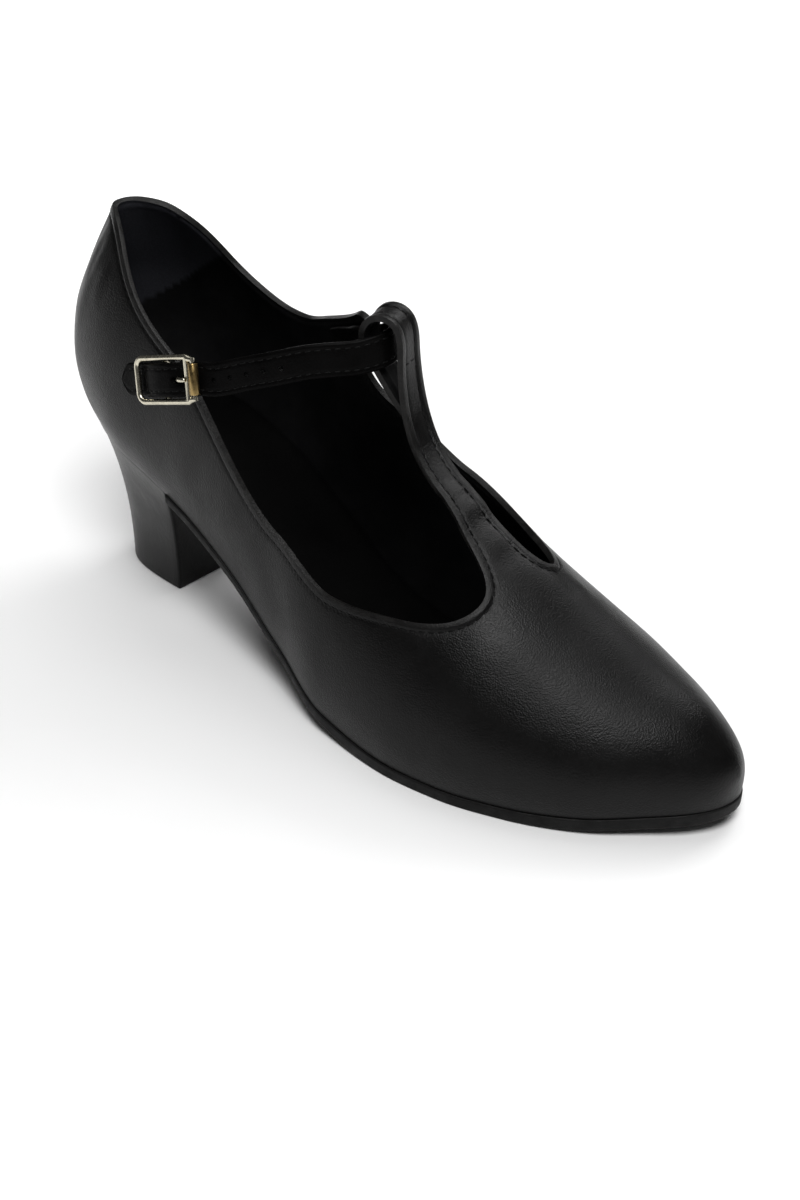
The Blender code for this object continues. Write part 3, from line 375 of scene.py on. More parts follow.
def smooth_free(x, y):
    """A natural cubic through the points, for curves that turn back on themselves."""
    n = len(x)
    step = np.diff(x)
    system = np.eye(n)
    right = np.zeros(n)
    for i in range(1, n - 1):
        system[i, i - 1 : i + 2] = step[i - 1], 2 * (step[i - 1] + step[i]), step[i]
        right[i] = 6 * ((y[i + 1] - y[i]) / step[i] - (y[i] - y[i - 1]) / step[i - 1])
    bend = np.linalg.solve(system, right)

    def curve(at):
        i = np.clip(np.searchsorted(x, at, side="right") - 1, 0, n - 2)
        left, rest = at - x[i], x[i + 1] - at
        cubic = (bend[i] * rest**3 + bend[i + 1] * left**3) / (6 * step[i])
        line = (y[i] / step[i] - bend[i] * step[i] / 6) * rest
        return cubic + line + (y[i + 1] / step[i] - bend[i + 1] * step[i] / 6) * left

    return curve


def turn_of(at):
    """The surface's own lengthwise coordinate, 0 to 1, for a share of LENGTH."""
    return np.arccos(1 - 2 * np.clip(at, 0, 1)) / np.pi


def share_of(turn):
    return (1 - np.cos(np.pi * turn)) / 2


def section_curve(name, scale=1.0):
    table = dict(zip(SECTION_COLUMNS, np.array(SECTIONS).T))
    curve = smooth(turn_of(table["at"]), table[name])
    return lambda turn: curve(turn) * scale


lateral_half = section_curve("lateral", BALL_WIDTH)
medial_half = section_curve("medial", BALL_WIDTH)
feather_height = section_curve("feather", SEAT_HEIGHT)
ridge_height = section_curve("ridge", INSTEP_HEIGHT)
ridge_across = section_curve("ridge_x", BALL_WIDTH)
side_bulge = section_curve("bulge", BALL_WIDTH)
flank_fullness = section_curve("flank")
shoulder_out = section_curve("shoulder_out")
shoulder_in = section_curve("shoulder_in")
counter_out = smooth(*(np.array(COUNTER) * (INSTEP_HEIGHT, LENGTH)).T)


def last_point(turn, girth):
    """A point on the outside of the last. girth: 1 at the lateral sole line, 0 on the ridge, -1 medial."""
    turn, girth = np.broadcast_arrays(np.asarray(turn, float), np.asarray(girth, float))
    outer = girth >= 0
    side = np.where(outer, 1.0, -1.0)
    rise = 1 - np.abs(girth)
    foot = np.where(outer, lateral_half(turn), -medial_half(turn))
    low, top, middle = feather_height(turn), ridge_height(turn), ridge_across(turn)
    shoulder = np.where(outer, shoulder_out(turn), shoulder_in(turn))
    corners = (
        (foot, low),
        (foot + side * side_bulge(turn), low + flank_fullness(turn) * (top - low)),
        (middle + shoulder * (foot - middle), top),
        (middle, top),
    )
    weights = ((1 - rise) ** 3, 3 * rise * (1 - rise) ** 2, 3 * rise**2 * (1 - rise), rise**3)
    x = sum(w * c[0] for w, c in zip(weights, corners))
    z = sum(w * c[1] for w, c in zip(weights, corners))
    near_heel = fade(1 - turn / COUNTER_REACH)
    y = share_of(turn) * LENGTH - counter_out(z - feather_height(0.0)) * near_heel
    return np.stack([x, y, z], -1)


def last_normal(turn, girth):
    """The outward direction of the last there."""
    small = 1e-3
    lengthwise = last_point(turn + small, girth) - last_point(turn - small, girth)
    around = last_point(turn, girth + small) - last_point(turn, girth - small)
    return unit(np.cross(around, lengthwise))


# The flat pattern: turn and girth laid out in metres, with steps about as long as those on the last
PATTERN_LENGTH = LENGTH * 1.25
PATTERN_GIRTH = BALL_WIDTH * 1.06


def tstrap_path():
    """The T-strap's centre line on its outer side, every half millimetre: distance, y and z."""
    root = last_point(turn_of(TSTRAP_ROOT), 0.0)[1:]
    rows = np.array(TSTRAP_PATH) * (LENGTH, INSTEP_HEIGHT)
    ahead = last_point(turn_of(TSTRAP_ROOT + 0.02), 0.0)[1:]
    points = flow(np.concatenate([[ahead, root], rows]), 0.5 * MM)
    start = int(np.argmin(np.linalg.norm(points - root, axis=1)))
    return lengths(points[start:]), points[start:]


TSTRAP_ALONG, TSTRAP_POINTS = tstrap_path()
TSTRAP_LENGTH = TSTRAP_ALONG[-1]


def tstrap_point(along, across):
    """A point on the T-strap's outer side, along it from its root and across it."""
    y = np.interp(along, TSTRAP_ALONG, TSTRAP_POINTS[:, 0])
    z = np.interp(along, TSTRAP_ALONG, TSTRAP_POINTS[:, 1])
    share = along / TSTRAP_LENGTH
    middle = ridge_across(turn_of(TSTRAP_ROOT)) + TSTRAP_DRIFT * BALL_WIDTH * fade(1.4 * share)
    anchor_y = TSTRAP_ANCHOR * LENGTH
    twist = TSTRAP_TWIST * fade(2.2 * share - 0.3)
    forward = y - anchor_y
    x = middle + across * np.cos(twist) - forward * np.sin(twist)
    y = anchor_y + across * np.sin(twist) + forward * np.cos(twist)
    crown = TSTRAP_CROWN * (across / TSTRAP_HALF_WIDTH) ** 2 * (1 - fade(2 * share))
    return np.stack([x, y, z - crown], -1)


def upper_point(pattern):
    """The upper's outer side for points of the flat pattern."""
    pattern = np.atleast_2d(pattern)
    root = turn_of(TSTRAP_ROOT)
    turn, girth = pattern[:, 0] / PATTERN_LENGTH, pattern[:, 1] / PATTERN_GIRTH
    points = last_point(np.clip(turn, 0, 1), np.clip(girth, -1, 1))
    along = (root - turn) * PATTERN_LENGTH
    strap = (along > 0) & (np.abs(pattern[:, 1]) < 2 * TSTRAP_HALF_WIDTH)
    across = last_point(root, girth[strap])[:, 0] - last_point(root, 0.0)[0]
    on_strap = tstrap_point(along[strap], across)
    mix = fade(along[strap] / TSTRAP_BLEND)[:, None]
    points[strap] = points[strap] * (1 - mix) + on_strap * mix
    return points


def on_pattern(rows):
    """Pattern points for rows of at and girth."""
    rows = np.asarray(rows)
    return np.stack([turn_of(rows[:, 0]) * PATTERN_LENGTH, rows[:, 1] * PATTERN_GIRTH], 1)


def strap_half_pattern():
    """The T-strap's half width as it is laid out on the pattern."""
    root = turn_of(TSTRAP_ROOT)
    slope = (last_point(root, 0.05)[0] - last_point(root, 0.0)[0]) / (0.05 * PATTERN_GIRTH)
    return TSTRAP_HALF_WIDTH / slope


def inside(points, outline):
    """Whether each point lies inside the closed outline."""
    found = np.zeros(len(points), bool)
    for a, b in zip(outline, np.roll(outline, -1, axis=0)):
        crosses = (a[1] > points[:, 1]) != (b[1] > points[:, 1])
        rise = b[1] - a[1] if b[1] != a[1] else 1.0
        found ^= crosses & (points[:, 0] < a[0] + (points[:, 1] - a[1]) * (b[0] - a[0]) / rise)
    return found


def away_from(points, outline, distance):
    """Whether each point keeps the distance to the outline's edges."""
    nearest = np.full(len(points), np.inf)
    for a, b in zip(outline, np.roll(outline, -1, axis=0)):
        edge = b - a
        t = np.clip(((points - a) @ edge) / max(edge @ edge, 1e-18), 0, 1)
        nearest = np.minimum(nearest, np.linalg.norm(points - a - t[:, None] * edge, axis=1))
    return nearest > distance


def lattice(outline, step, clear):
    """An even lattice of points inside a flat outline, kept clear of its edges."""
    low, high = outline.min(0), outline.max(0)
    rows = []
    for i, y in enumerate(np.arange(low[1], high[1], step * math.sqrt(3) / 2)):
        across = np.arange(low[0] + (i % 2) * step / 2, high[0], step)
        rows.append(np.stack([across, np.full_like(across, y)], 1))
    points = np.concatenate(rows)
    points = points[inside(points, outline)]
    return points[away_from(points, outline, clear)]


def filled(outline, *more):
    """The points and triangles of a flat outline with more points inside it."""
    ring = [(i, (i + 1) % len(outline)) for i in range(len(outline))]
    found = delaunay_2d_cdt([Vector(p) for p in np.concatenate([outline, *more])], ring, [], 1, 1e-7)
    return np.array([tuple(p) for p in found[0]]), [tuple(face) for face in found[2]]


def sole_height(y):
    """The height of the upper's sole line at a place along the shoe."""
    return feather_height(turn_of(y / LENGTH))


def plate(name, points, faces, top, bottom):
    """A closed plate between two heights over one flat filled pattern."""
    count = len(points)
    edges = {edge for face in faces for edge in zip(face, face[1:] + face[:1])}
    rim = sorted((a, b) for a, b in edges if (b, a) not in edges)
    sides = [(a, b, b + count, a + count) for a, b in rim]
    under = [tuple(i + count for i in face[::-1]) for face in faces]
    both = np.concatenate([np.column_stack([points, top]), np.column_stack([points, bottom])])
    return mesh_piece(name, both, faces + under + sides)


def sole_thickness(y):
    """Full under the forefoot, thinner along the arch."""
    waist = fade((SOLE_FULL_AT - y / LENGTH) / (SOLE_FULL_AT - SOLE_THIN_AT))
    return SOLE_THICKNESS + (SHANK_THICKNESS - SOLE_THICKNESS) * waist


# Heights over the quarter, in the buckle's own frame
BAR_UP = GAP + PRONG_WIRE + PRONG_PLAY + CENTRE_BAR_WIRE / 2
PRONG_RING = CENTRE_BAR_WIRE / 2 + PRONG_PLAY + PRONG_WIRE / 2
STRAP_UNDER_BARS = 2 * GAP + 2 * TAB_THICKNESS + STRAP_THICKNESS / 2
STRAP_OVER_PRONG = BAR_UP + PRONG_RING + PRONG_WIRE / 2 + GAP + STRAP_THICKNESS / 2
STRAP_LYING = 2 * GAP + STRAP_THICKNESS / 2
FRAME_UP = STRAP_UNDER_BARS + STRAP_THICKNESS / 2 + GAP + BUCKLE_WIRE / 2
PRONG_LYING = FRAME_UP + BUCKLE_WIRE / 2 + PRONG_PLAY + PRONG_WIRE / 2
BAR_ALONG = (BUCKLE_LENGTH - BUCKLE_WIRE) / 2
RAIL_ACROSS = (BUCKLE_HEIGHT - BUCKLE_WIRE) / 2
PIN_ALONG = -BAR_ALONG - BUCKLE_WIRE / 2 - 0.5 * GAP - ROLLER_WIRE / 2


def buckle_axes():
    """The point of the quarter under the buckle, and the directions to the tip, up the shoe and outward."""
    middle = last_point(turn_of(BUCKLE_AT), BUCKLE_GIRTH)
    outward = last_normal(turn_of(BUCKLE_AT), BUCKLE_GIRTH)
    along = last_point(turn_of(TIP_AT), TIP_GIRTH) - middle
    along = unit(along - outward * (along @ outward))
    return middle, along, np.cross(along, outward), outward


def buckle_points(rows):
    """World points for rows of along, across and up in the buckle's own frame."""
    middle, *axes = buckle_axes()
    return middle + np.atleast_2d(rows) @ np.array(axes)


def in_buckle(along, up):
    """World points on the buckle's middle plane."""
    return buckle_points(np.column_stack([along, np.zeros(len(along)), up]))


def strap_line():
    """The ankle strap's centre line with the direction it faces, from its root to its tip."""
    at, girth, inset = np.array(STRAP_ROOT).T
    root_facing = last_normal(turn_of(at), -girth)
    depth = UPPER_WALL + GAP + STRAP_THICKNESS / 2 + inset * STRAP_THICKNESS
    root = last_point(turn_of(at), -girth) - root_facing * depth[:, None]
    free = np.array(STRAP_FREE) * (BALL_WIDTH, LENGTH, INSTEP_HEIGHT)
    along, rise = np.array(BUCKLE_RUN).T
    run = in_buckle(along * BAR_ALONG, STRAP_UNDER_BARS + (STRAP_OVER_PRONG - STRAP_UNDER_BARS) * rise)
    tip = in_buckle([BAR_ALONG + BUCKLE_WIRE / 2 + TIP_LENGTH], [STRAP_LYING])
    points = np.concatenate([root, free, run, tip])
    first, last = len(root), len(root) + len(free)
    ahead = points[first + 1 : last + 1] - points[first - 1 : last - 1]
    level = unit(np.column_stack([-ahead[:, 1], ahead[:, 0], np.zeros(len(free))]))
    free_facing = level * math.cos(STRAP_LEAN) + np.array([0, 0, math.sin(STRAP_LEAN)])
    run_facing = np.tile(buckle_axes()[3], (len(run) + 1, 1))
    facing = np.concatenate([root_facing, free_facing, run_facing])
    return flow(np.concatenate([points, facing * STRAP_WIDTH / 2], axis=1), STRAP_STEP)


def last_to_frame():
    """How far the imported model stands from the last's own frame, found from the heel's flat base."""
    corners = np.array([v.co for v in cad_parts["heel"].data.vertices])
    base = corners[corners[:, 2] < corners[:, 2].min() + 0.01 * MM]
    middle = (base.min(0) + base.max(0)) / 2
    return middle - (0, (HEEL_BASE_BACK + HEEL_BASE_FRONT) / 2, 0)


SHIFT = last_to_frame()


def new_object(name, data):
    made = bpy.data.objects.new(name, data)
    bpy.context.scene.collection.objects.link(made)
    return made


def result_mesh(made):
    """A mesh of an object as its modifiers or its thickness leave it."""
    graph = bpy.context.evaluated_depsgraph_get()
    return bpy.data.meshes.new_from_object(made.evaluated_get(graph))


def mesh_piece(name, points, faces, weld=0.02 * MM):
    mesh = bpy.data.meshes.new(name)
    mesh.from_pydata([tuple(p) for p in np.asarray(points) + SHIFT], [], faces)
    work = bmesh.new()
    work.from_mesh(mesh)
    bmesh.ops.remove_doubles(work, verts=work.verts, dist=weld)
    bmesh.ops.dissolve_degenerate(work, edges=work.edges, dist=0.1 * weld)
    bmesh.ops.recalc_face_normals(work, faces=work.faces)
    work.to_mesh(mesh)
    work.free()
    mesh.shade_smooth()
    return new_object(name, mesh)


def tube(rings, count, first=0, capped=True):
    """Faces between rings of points that follow each other. Capped at both ends, or else closed on itself."""
    faces = []
    for ring in range(rings - capped):
        here, there = first + ring * count, first + (ring + 1) % rings * count
        for k in range(count):
            faces.append((here + k, here + (k + 1) % count, there + (k + 1) % count, there + k))
    if capped:
        faces.append(tuple(range(first, first + count))[::-1])
        faces.append(tuple(range(there, there + count)))
    return faces


def dress(piece, slot, materials, *nodes):
    """Gives a piece its materials, hangs it under the root body and hides the solids of the frame it stands
    for.
    """
    for material in materials:
        piece.data.materials.append(material)
    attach(piece, "root")
    if nodes:
        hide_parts(*nodes)


def round_edges(piece, width, angle=50):
    edge = piece.modifiers.new("round_edges", "BEVEL")
    edge.width = width
    edge.segments = 3
    edge.limit_method = "ANGLE"
    edge.angle_limit = math.radians(angle)


def nearest(points, line):
    """How far each point lies from the nearest one of a dense row of points."""
    tree = KDTree(len(line))
    for i, point in enumerate(line):
        tree.insert(point, i)
    tree.balance()
    return np.array([tree.find(point)[2] for point in points])


def dense(points, step):
    """Points every step along straight lines through the given ones."""
    length = lengths(points)
    return at_lengths(np.arange(0, length[-1], step), length, points)


# Upper


def topline_pattern(step):
    """The pattern's top edge: from the back seam along the outer side, round the T-strap and back inside."""
    root = turn_of(TSTRAP_ROOT) * PATTERN_LENGTH
    half = strap_half_pattern()
    end = root - TSTRAP_LENGTH
    lead_in = root - TSTRAP_LEAD_IN * TSTRAP_LENGTH
    tail = root - TSTRAP_TAIL_AT * TSTRAP_LENGTH
    sides = []
    for rows, side in ((TOPLINE_OUT, 1), (TOPLINE_IN, -1)):
        strap_edge = [(lead_in, side * half), (tail, side * half), (end, side * TSTRAP_TAIL_TAPER * half)]
        sides.append(flow(np.concatenate([on_pattern(rows) * (1, side), strap_edge]), step))
    lateral, medial = sides
    across_end = np.linspace(lateral[-1], medial[-1], 9)[1:-1]
    return np.concatenate([lateral, across_end, medial[::-1]])


def upper_outline(step):
    """The pattern's edge as one closed loop."""
    top = topline_pattern(step)
    back_out = np.linspace((0, PATTERN_GIRTH), top[0], round(0.7 * PATTERN_GIRTH / step))[:-1]
    toe = np.linspace((PATTERN_LENGTH, -PATTERN_GIRTH), (PATTERN_LENGTH, PATTERN_GIRTH), 41)
    sole = np.linspace(0, PATTERN_LENGTH, round(PATTERN_LENGTH / step))[1:-1]
    sole_in = np.stack([sole, np.full_like(sole, -PATTERN_GIRTH)], 1)
    sole_out = np.stack([sole[::-1], np.full_like(sole, PATTERN_GIRTH)], 1)
    return np.concatenate([back_out, top, back_out[::-1] * (1, -1), sole_in, toe, sole_out])


def pattern_slopes(pattern):
    """How the surface moves for a step along each axis of the pattern."""
    small = 0.05 * MM
    slopes = []
    for axis in ((small, 0), (0, small)):
        slopes.append((upper_point(pattern + axis) - upper_point(pattern - axis)) / (2 * small))
    return slopes


def surface_normal(pattern):
    length_slope, girth_slope = pattern_slopes(pattern)
    return unit(np.cross(girth_slope, length_slope))


def inward(edge, distance):
    """The row of pattern points that lies a real distance inside an edge of the pattern."""
    tangent = np.gradient(edge, axis=0)
    side = np.stack([-tangent[:, 1], tangent[:, 0]], 1)
    a, b = pattern_slopes(edge)
    aa, ab, bb = (a * a).sum(1), (a * b).sum(1), (b * b).sum(1)
    spread = aa * bb - ab * ab
    x = (bb * side[:, 0] - ab * side[:, 1]) / spread
    y = (aa * side[:, 1] - ab * side[:, 0]) / spread
    reach = np.sqrt(aa * x * x + 2 * ab * x * y + bb * y * y)
    return edge + distance * np.stack([x, y], 1) / reach[:, None]


def edge_rows(top, rim):
    """Rows of points beside the topline, where the fold and its stitch channel need them."""
    rows = []
    for distance in EDGE_ROWS:
        row = inward(top, distance)
        kept = (row[:, 0] > 0.8 * MM) & (nearest(upper_point(row), rim) > 0.93 * distance)
        rows.append(row[kept])
    back = np.arange(on_pattern(TOPLINE_OUT)[0, 1] + BACK_SEAM_STEP, PATTERN_GIRTH - MM, BACK_SEAM_STEP)
    for column_at in BACK_SEAM_COLUMNS:
        for side in (1, -1):
            rows.append(np.stack([np.full_like(back, column_at), side * back], 1))
    return np.concatenate(rows)


def fill_upper():
    top = topline_pattern(TOPLINE_STEP)
    outline = upper_outline(TOPLINE_STEP)
    rim = dense(upper_point(top), RIM_STEP)
    rows = edge_rows(top, rim)
    rest = lattice(outline, UPPER_STEP, 0.5 * UPPER_STEP)
    rest = rest[rest[:, 0] > BACK_SEAM_COLUMNS[-1] + 0.5 * UPPER_STEP]
    rest = rest[nearest(upper_point(rest), rim) > EDGE_ROWS[-1] + 0.45 * UPPER_STEP]
    return *filled(outline, rows, rest), rim


def crease_line(row):
    """A smooth line through a crease's three points, on the upper."""
    pattern = on_pattern(np.reshape(row[:6], (3, 2)))
    t = np.linspace(0, 1, 60)[:, None]
    bow = pattern[0] * (1 - t) * (1 - 2 * t) + pattern[1] * 4 * t * (1 - t) + pattern[2] * t * (2 * t - 1)
    return upper_point(bow), np.sin(math.pi * t[:, 0]) ** 0.6


def crease_depths(points):
    depth = np.zeros(len(points))
    for row in CREASES:
        line, strength = crease_line(row)
        width, deep = row[6] * MM, row[7] * MM
        middle = line[len(line) // 2]
        reach = np.linalg.norm(middle - line[0]) + 4 * width
        close = np.flatnonzero(np.linalg.norm(points - middle, axis=1) < reach)
        away = np.linalg.norm(points[close, None] - line[None], axis=2)
        at = away.argmin(1)
        depth[close] += deep * strength[at] * np.exp(-((away.min(1) / width) ** 2))
    return depth


def edge_profile(distance):
    """The height of the folded edge and of the stitch channel behind it."""
    fold = FOLD_LIFT * (1 - fade((distance - FOLD_WIDTH) / (0.45 * FOLD_WIDTH)))
    channel = CHANNEL_DEPTH * np.exp(-(((distance - STITCH_IN) / CHANNEL_WIDTH) ** 2))
    return fold - channel


def move_out(piece, lift):
    """Moves each vertex along its normal."""
    mesh = piece.data
    count = len(mesh.vertices)
    place, normal = np.zeros(3 * count, np.float32), np.zeros(3 * count, np.float32)
    mesh.vertices.foreach_get("co", place)
    mesh.vertex_normals.foreach_get("vector", normal)
    place = place.reshape(-1, 3) + lift[:, None] * normal.reshape(-1, 3)
    mesh.vertices.foreach_set("co", place.ravel())
    mesh.update()


def vertex_places(piece):
    return np.array([v.co for v in piece.data.vertices]) - SHIFT


def set_share(piece, name, values):
    """Stores a share from 0 to 1 on each vertex, for the materials."""
    layer = piece.data.attributes.new(name, "FLOAT", "POINT")
    layer.data.foreach_set("value", np.asarray(values, np.float32))


def make_upper(leather, lining):
    pattern, faces, rim = fill_upper()
    upper = mesh_piece("upper_leather", upper_point(pattern), faces)
    top_faces = [f for f in upper.data.polygons if f.center.y - SHIFT[1] > 0.75 * LENGTH]
    if sum(f.normal.z * f.area for f in top_faces) < 0:
        upper.data.flip_normals()
    points = vertex_places(upper)
    distance = nearest(points, rim)
    lift = edge_profile(distance) - crease_depths(points)
    waves = np.array([noise.noise(Vector(p / WAVE_SIZE)) for p in points])
    lift += WAVE_HEIGHT * waves * fade((distance - 2 * MM) / (10 * MM))
    seam = np.abs(points[:, 0]) + 1.0 * (points[:, 1] > 0.1 * LENGTH)
    lift -= BACK_SEAM_DEPTH * np.exp(-((seam / BACK_SEAM_WIDTH) ** 2)) * fade((distance - 2 * MM) / (3 * MM))
    sole_line = points[:, 2] - sole_height(points[:, 1])
    lift *= fade((sole_line - 1 * MM) / (6 * MM)) * 0.9 + 0.1
    move_out(upper, lift)
    # The edge share marks the topline rim for its lighter tone of wear and painted highlight
    set_share(upper, "edge", 1 - fade((distance - 0.4 * MM) / (1.4 * MM)))
    grip_line = GRIP_LEAN * (points[:, 2] - GRIP_FLOOR * INSTEP_HEIGHT)
    set_share(upper, "grip", fade((grip_line - points[:, 1]) / MM))
    wall = upper.modifiers.new("wall", "SOLIDIFY")
    wall.thickness = UPPER_WALL
    wall.offset = -1
    wall.use_even_offset = False
    wall.use_quality_normals = True
    wall.material_offset = 1
    wall.material_offset_rim = 0
    round_edges(upper, RIM_ROUND)
    dress(upper, "black_leather", (leather, lining), "upper")


# Stitches


def stitches_along(line, normal, sunk=0.0):
    """Stitches along a line of 3-D points, as rows of middle, direction and normal."""
    length = lengths(line)
    count = int(length[-1] / (STITCH_LENGTH + STITCH_GAP))
    rows = []
    for i in range(count):
        middle = (i + 0.5) * length[-1] / count
        place = at_lengths([middle - STITCH_LENGTH / 2, middle, middle + STITCH_LENGTH / 2], length, line)
        out = unit(at_lengths([middle], length, normal)[0])
        rows.append((place[1] - out * sunk, place[2] - place[0], out))
    return rows


def make_stitches(name, rows, thread):
    """Each stitch is a short bowed thread whose ends dive into the leather."""
    around = np.linspace(0, 2 * math.pi, THREAD_SIDES, endpoint=False)
    points, faces = [], []
    for middle, ahead, out in rows:
        side = unit(np.cross(ahead, out))
        faces += tube(THREAD_STEPS + 1, THREAD_SIDES, len(points))
        for t in np.linspace(-0.5, 0.5, THREAD_STEPS + 1):
            bow = (0.10 - 0.45 * (2 * t) ** 4) * THREAD
            centre = middle + ahead * t + out * bow
            radius = THREAD / 2 * math.sqrt(max(0.06, 1 - (2 * t) ** 6))
            for angle in around:
                points.append(centre + radius * (side * math.cos(angle) + 0.8 * out * math.sin(angle)))
    dress(mesh_piece(name, points, faces, weld=1e-7), "black_leather", (thread,))


def runs(kept):
    """The stretches of a row of booleans that are true and long enough to sew."""
    edges = np.flatnonzero(np.diff(np.concatenate([[0], kept.astype(int), [0]])))
    return [(a, b) for a, b in zip(edges[::2], edges[1::2]) if b - a > 6]


def topline_stitches():
    top = topline_pattern(0.4 * MM)
    rim = dense(upper_point(top), RIM_STEP)
    row = inward(top, STITCH_IN)
    points = upper_point(row)
    kept = (row[:, 0] > 1.5 * MM) & (nearest(points, rim) > 0.95 * STITCH_IN)
    out = surface_normal(row)
    rows = []
    for a, b in runs(kept):
        rows += stitches_along(points[a:b] - out[a:b] * 0.6 * CHANNEL_DEPTH, out[a:b])
    return rows


def cross_stitches(along):
    """A row of stitches across the T-strap."""
    root = turn_of(TSTRAP_ROOT) * PATTERN_LENGTH
    reach = strap_half_pattern() * (1 - STITCH_IN / TSTRAP_HALF_WIDTH)
    row = np.stack([np.full(30, root - along), np.linspace(-reach, reach, 30)], 1)
    return stitches_along(upper_point(row), surface_normal(row), sunk=0.1 * THREAD)


# Straps


def strap_profile(half, thickness):
    """A strap's section as across and up: crowned, with rounded edges and a stitch channel near each."""
    round_off = min(STRAP_ROUND_OFF, 0.45 * thickness)
    corner_turn = np.linspace(0, math.pi / 2, 5)
    inset = half - round_off + round_off * np.sin(corner_turn)[::-1]
    rise = thickness / 2 - round_off + round_off * np.cos(corner_turn)[::-1]
    flat = np.linspace(half - round_off, 0, 13)[1:]
    crown = STRAP_CROWN * (1 - (flat / half) ** 2)
    channel = STRAP_CHANNEL_DEPTH * np.exp(-(((half - flat - STRAP_STITCH_IN) / STRAP_CHANNEL_WIDTH) ** 2))
    top = np.concatenate([np.stack([inset, rise], 1), np.stack([flat, thickness / 2 + crown - channel], 1)])
    top = np.concatenate([top, top[-2::-1] * (-1, 1)])
    bottom = np.stack([top[::-1, 0], -np.minimum(top[::-1, 1], thickness / 2)], 1)
    return np.concatenate([top, bottom])


def loft_band(name, line, facing, half_widths, thickness):
    """A strap of even thickness along a line, closed at both ends."""
    ahead = np.gradient(line, axis=0)
    across = unit(np.cross(ahead, facing))
    out = unit(np.cross(across, ahead))
    points = []
    for place, side, up, half in zip(line, across, out, half_widths):
        profile = strap_profile(half, thickness)
        points.append(place + profile[:, :1] * side + profile[:, 1:] * up)
    faces = tube(len(line), len(points[0]))
    return mesh_piece(name, np.concatenate(points), faces, weld=0.004 * MM), out, across


def combine(piece, shapes, operation, sharp_angle):
    """Joins closed shapes to a piece or cuts them out of it, and keeps the result as its mesh."""
    for shape in shapes:
        joint = piece.modifiers.new("joint", "BOOLEAN")
        joint.object = shape
        joint.operation = operation
    mesh = result_mesh(piece)
    piece.modifiers.clear()
    piece.data = mesh
    for shape in shapes:
        bpy.data.objects.remove(shape)
    mesh.shade_smooth()
    mesh.set_sharp_from_angle(angle=math.radians(sharp_angle))


def hole_cutter(place, axes, length, width, deep):
    """An oval post through a strap. axes: along the strap, across it and out of it."""
    ahead, side, up = axes
    turns = np.linspace(0, 2 * math.pi, 28, endpoint=False)
    ring = place + np.outer(length / 2 * np.cos(turns), ahead) + np.outer(width / 2 * np.sin(turns), side)
    return mesh_piece("hole", np.concatenate([ring - up * deep, ring + up * deep]), tube(2, len(turns)))


def make_ankle_strap(leather, thread):
    rows = strap_line()
    line, facing = rows[:, :3], rows[:, 3:]
    to_tip = np.linalg.norm(line - line[-1], axis=1)
    round_off = np.clip(1 - to_tip / TIP_ROUND, 0, 0.97)
    half_widths = STRAP_WIDTH / 2 * np.sqrt(1 - round_off**2)
    strap, out, across = loft_band("ankle_strap_leather", line, facing, half_widths, STRAP_THICKNESS)
    length = lengths(line)
    from_tip = length[-1] - length
    holes = []
    for i in range(HOLE_COUNT):
        at = int(np.argmin(np.abs(from_tip - HOLE_FIRST - i * HOLE_PITCH)))
        axes = unit(line[at + 1] - line[at - 1]), across[at], out[at]
        holes.append(hole_cutter(line[at], axes, HOLE_ROUND, HOLE_ROUND, 3 * MM))
    axes = buckle_axes()[1:]
    prong_place = in_buckle([HOLE_AT * BAR_ALONG], [STRAP_OVER_PRONG])[0]
    holes.append(hole_cutter(prong_place, axes, HOLE_LENGTH, HOLE_WIDTH, 5 * MM))
    combine(strap, holes, "DIFFERENCE", 60)
    dress(strap, "black_leather", (leather,), "ankle_strap")
    rows = []
    for side in (1, -1):
        run = (to_tip > 3.2 * MM) & (length > 2 * MM)
        edge = line + across * (side * (half_widths - STRAP_STITCH_IN))[:, None]
        edge = edge + out * (STRAP_THICKNESS / 2)
        rows += stitches_along(edge[run], out[run], sunk=0.2 * THREAD)
    tip = line[-1] - axes[0] * TIP_SEAM_IN + out[-1] * STRAP_THICKNESS / 2
    spread = np.linspace(-1, 1, 12)[:, None]
    cap = tip + across[-1] * spread * TIP_SEAM_REACH - axes[0] * (spread**2) * TIP_SEAM_BOW
    rows += stitches_along(cap, np.tile(out[-1], (12, 1)), sunk=0.2 * THREAD)
    make_stitches("ankle_strap_stitches", rows, thread)


# Sole, insole and heel


def edge_loop(height, inset):
    """The upper's outline in plan at a height over its sole line, drawn in by inset."""
    turns = np.linspace(0, 1, SOLE_TURNS)
    rise = ridge_height(turns) - feather_height(turns)
    depth = np.clip(height / (3 * flank_fullness(turns) * rise), 0, 0.3)
    lateral = last_point(turns, 1 - depth)[:, :2]
    medial = last_point(turns, depth - 1)[:, :2]
    loop = np.concatenate([lateral, medial[-2:0:-1]])
    before, after = np.roll(loop, 1, axis=0), np.roll(loop, -1, axis=0)
    tangent = unit(after - before)
    return loop + inset * np.stack([-tangent[:, 1], tangent[:, 0]], 1)


def spaced(loop, step):
    """The same closed outline with its points spread evenly."""
    return dense(np.concatenate([loop, loop[:1]]), step)


def make_insole(lining):
    outline = spaced(edge_loop(INSOLE_THICKNESS, UPPER_WALL + GAP + INSOLE_SETBACK), 1.5 * MM)
    points, faces = filled(outline, lattice(outline, PLATE_STEP, 0.55 * PLATE_STEP))
    bottom = sole_height(points[:, 1])
    edge = np.column_stack([outline, sole_height(outline[:, 1])])
    dish = INSOLE_DISH * fade(nearest(np.column_stack([points, bottom]), edge) / (9 * MM))
    insole = plate("insole_lining", points, faces, bottom + INSOLE_THICKNESS - dish, bottom)
    round_edges(insole, INSOLE_EASE)
    dress(insole, "insole_lining", (lining,), "insole")


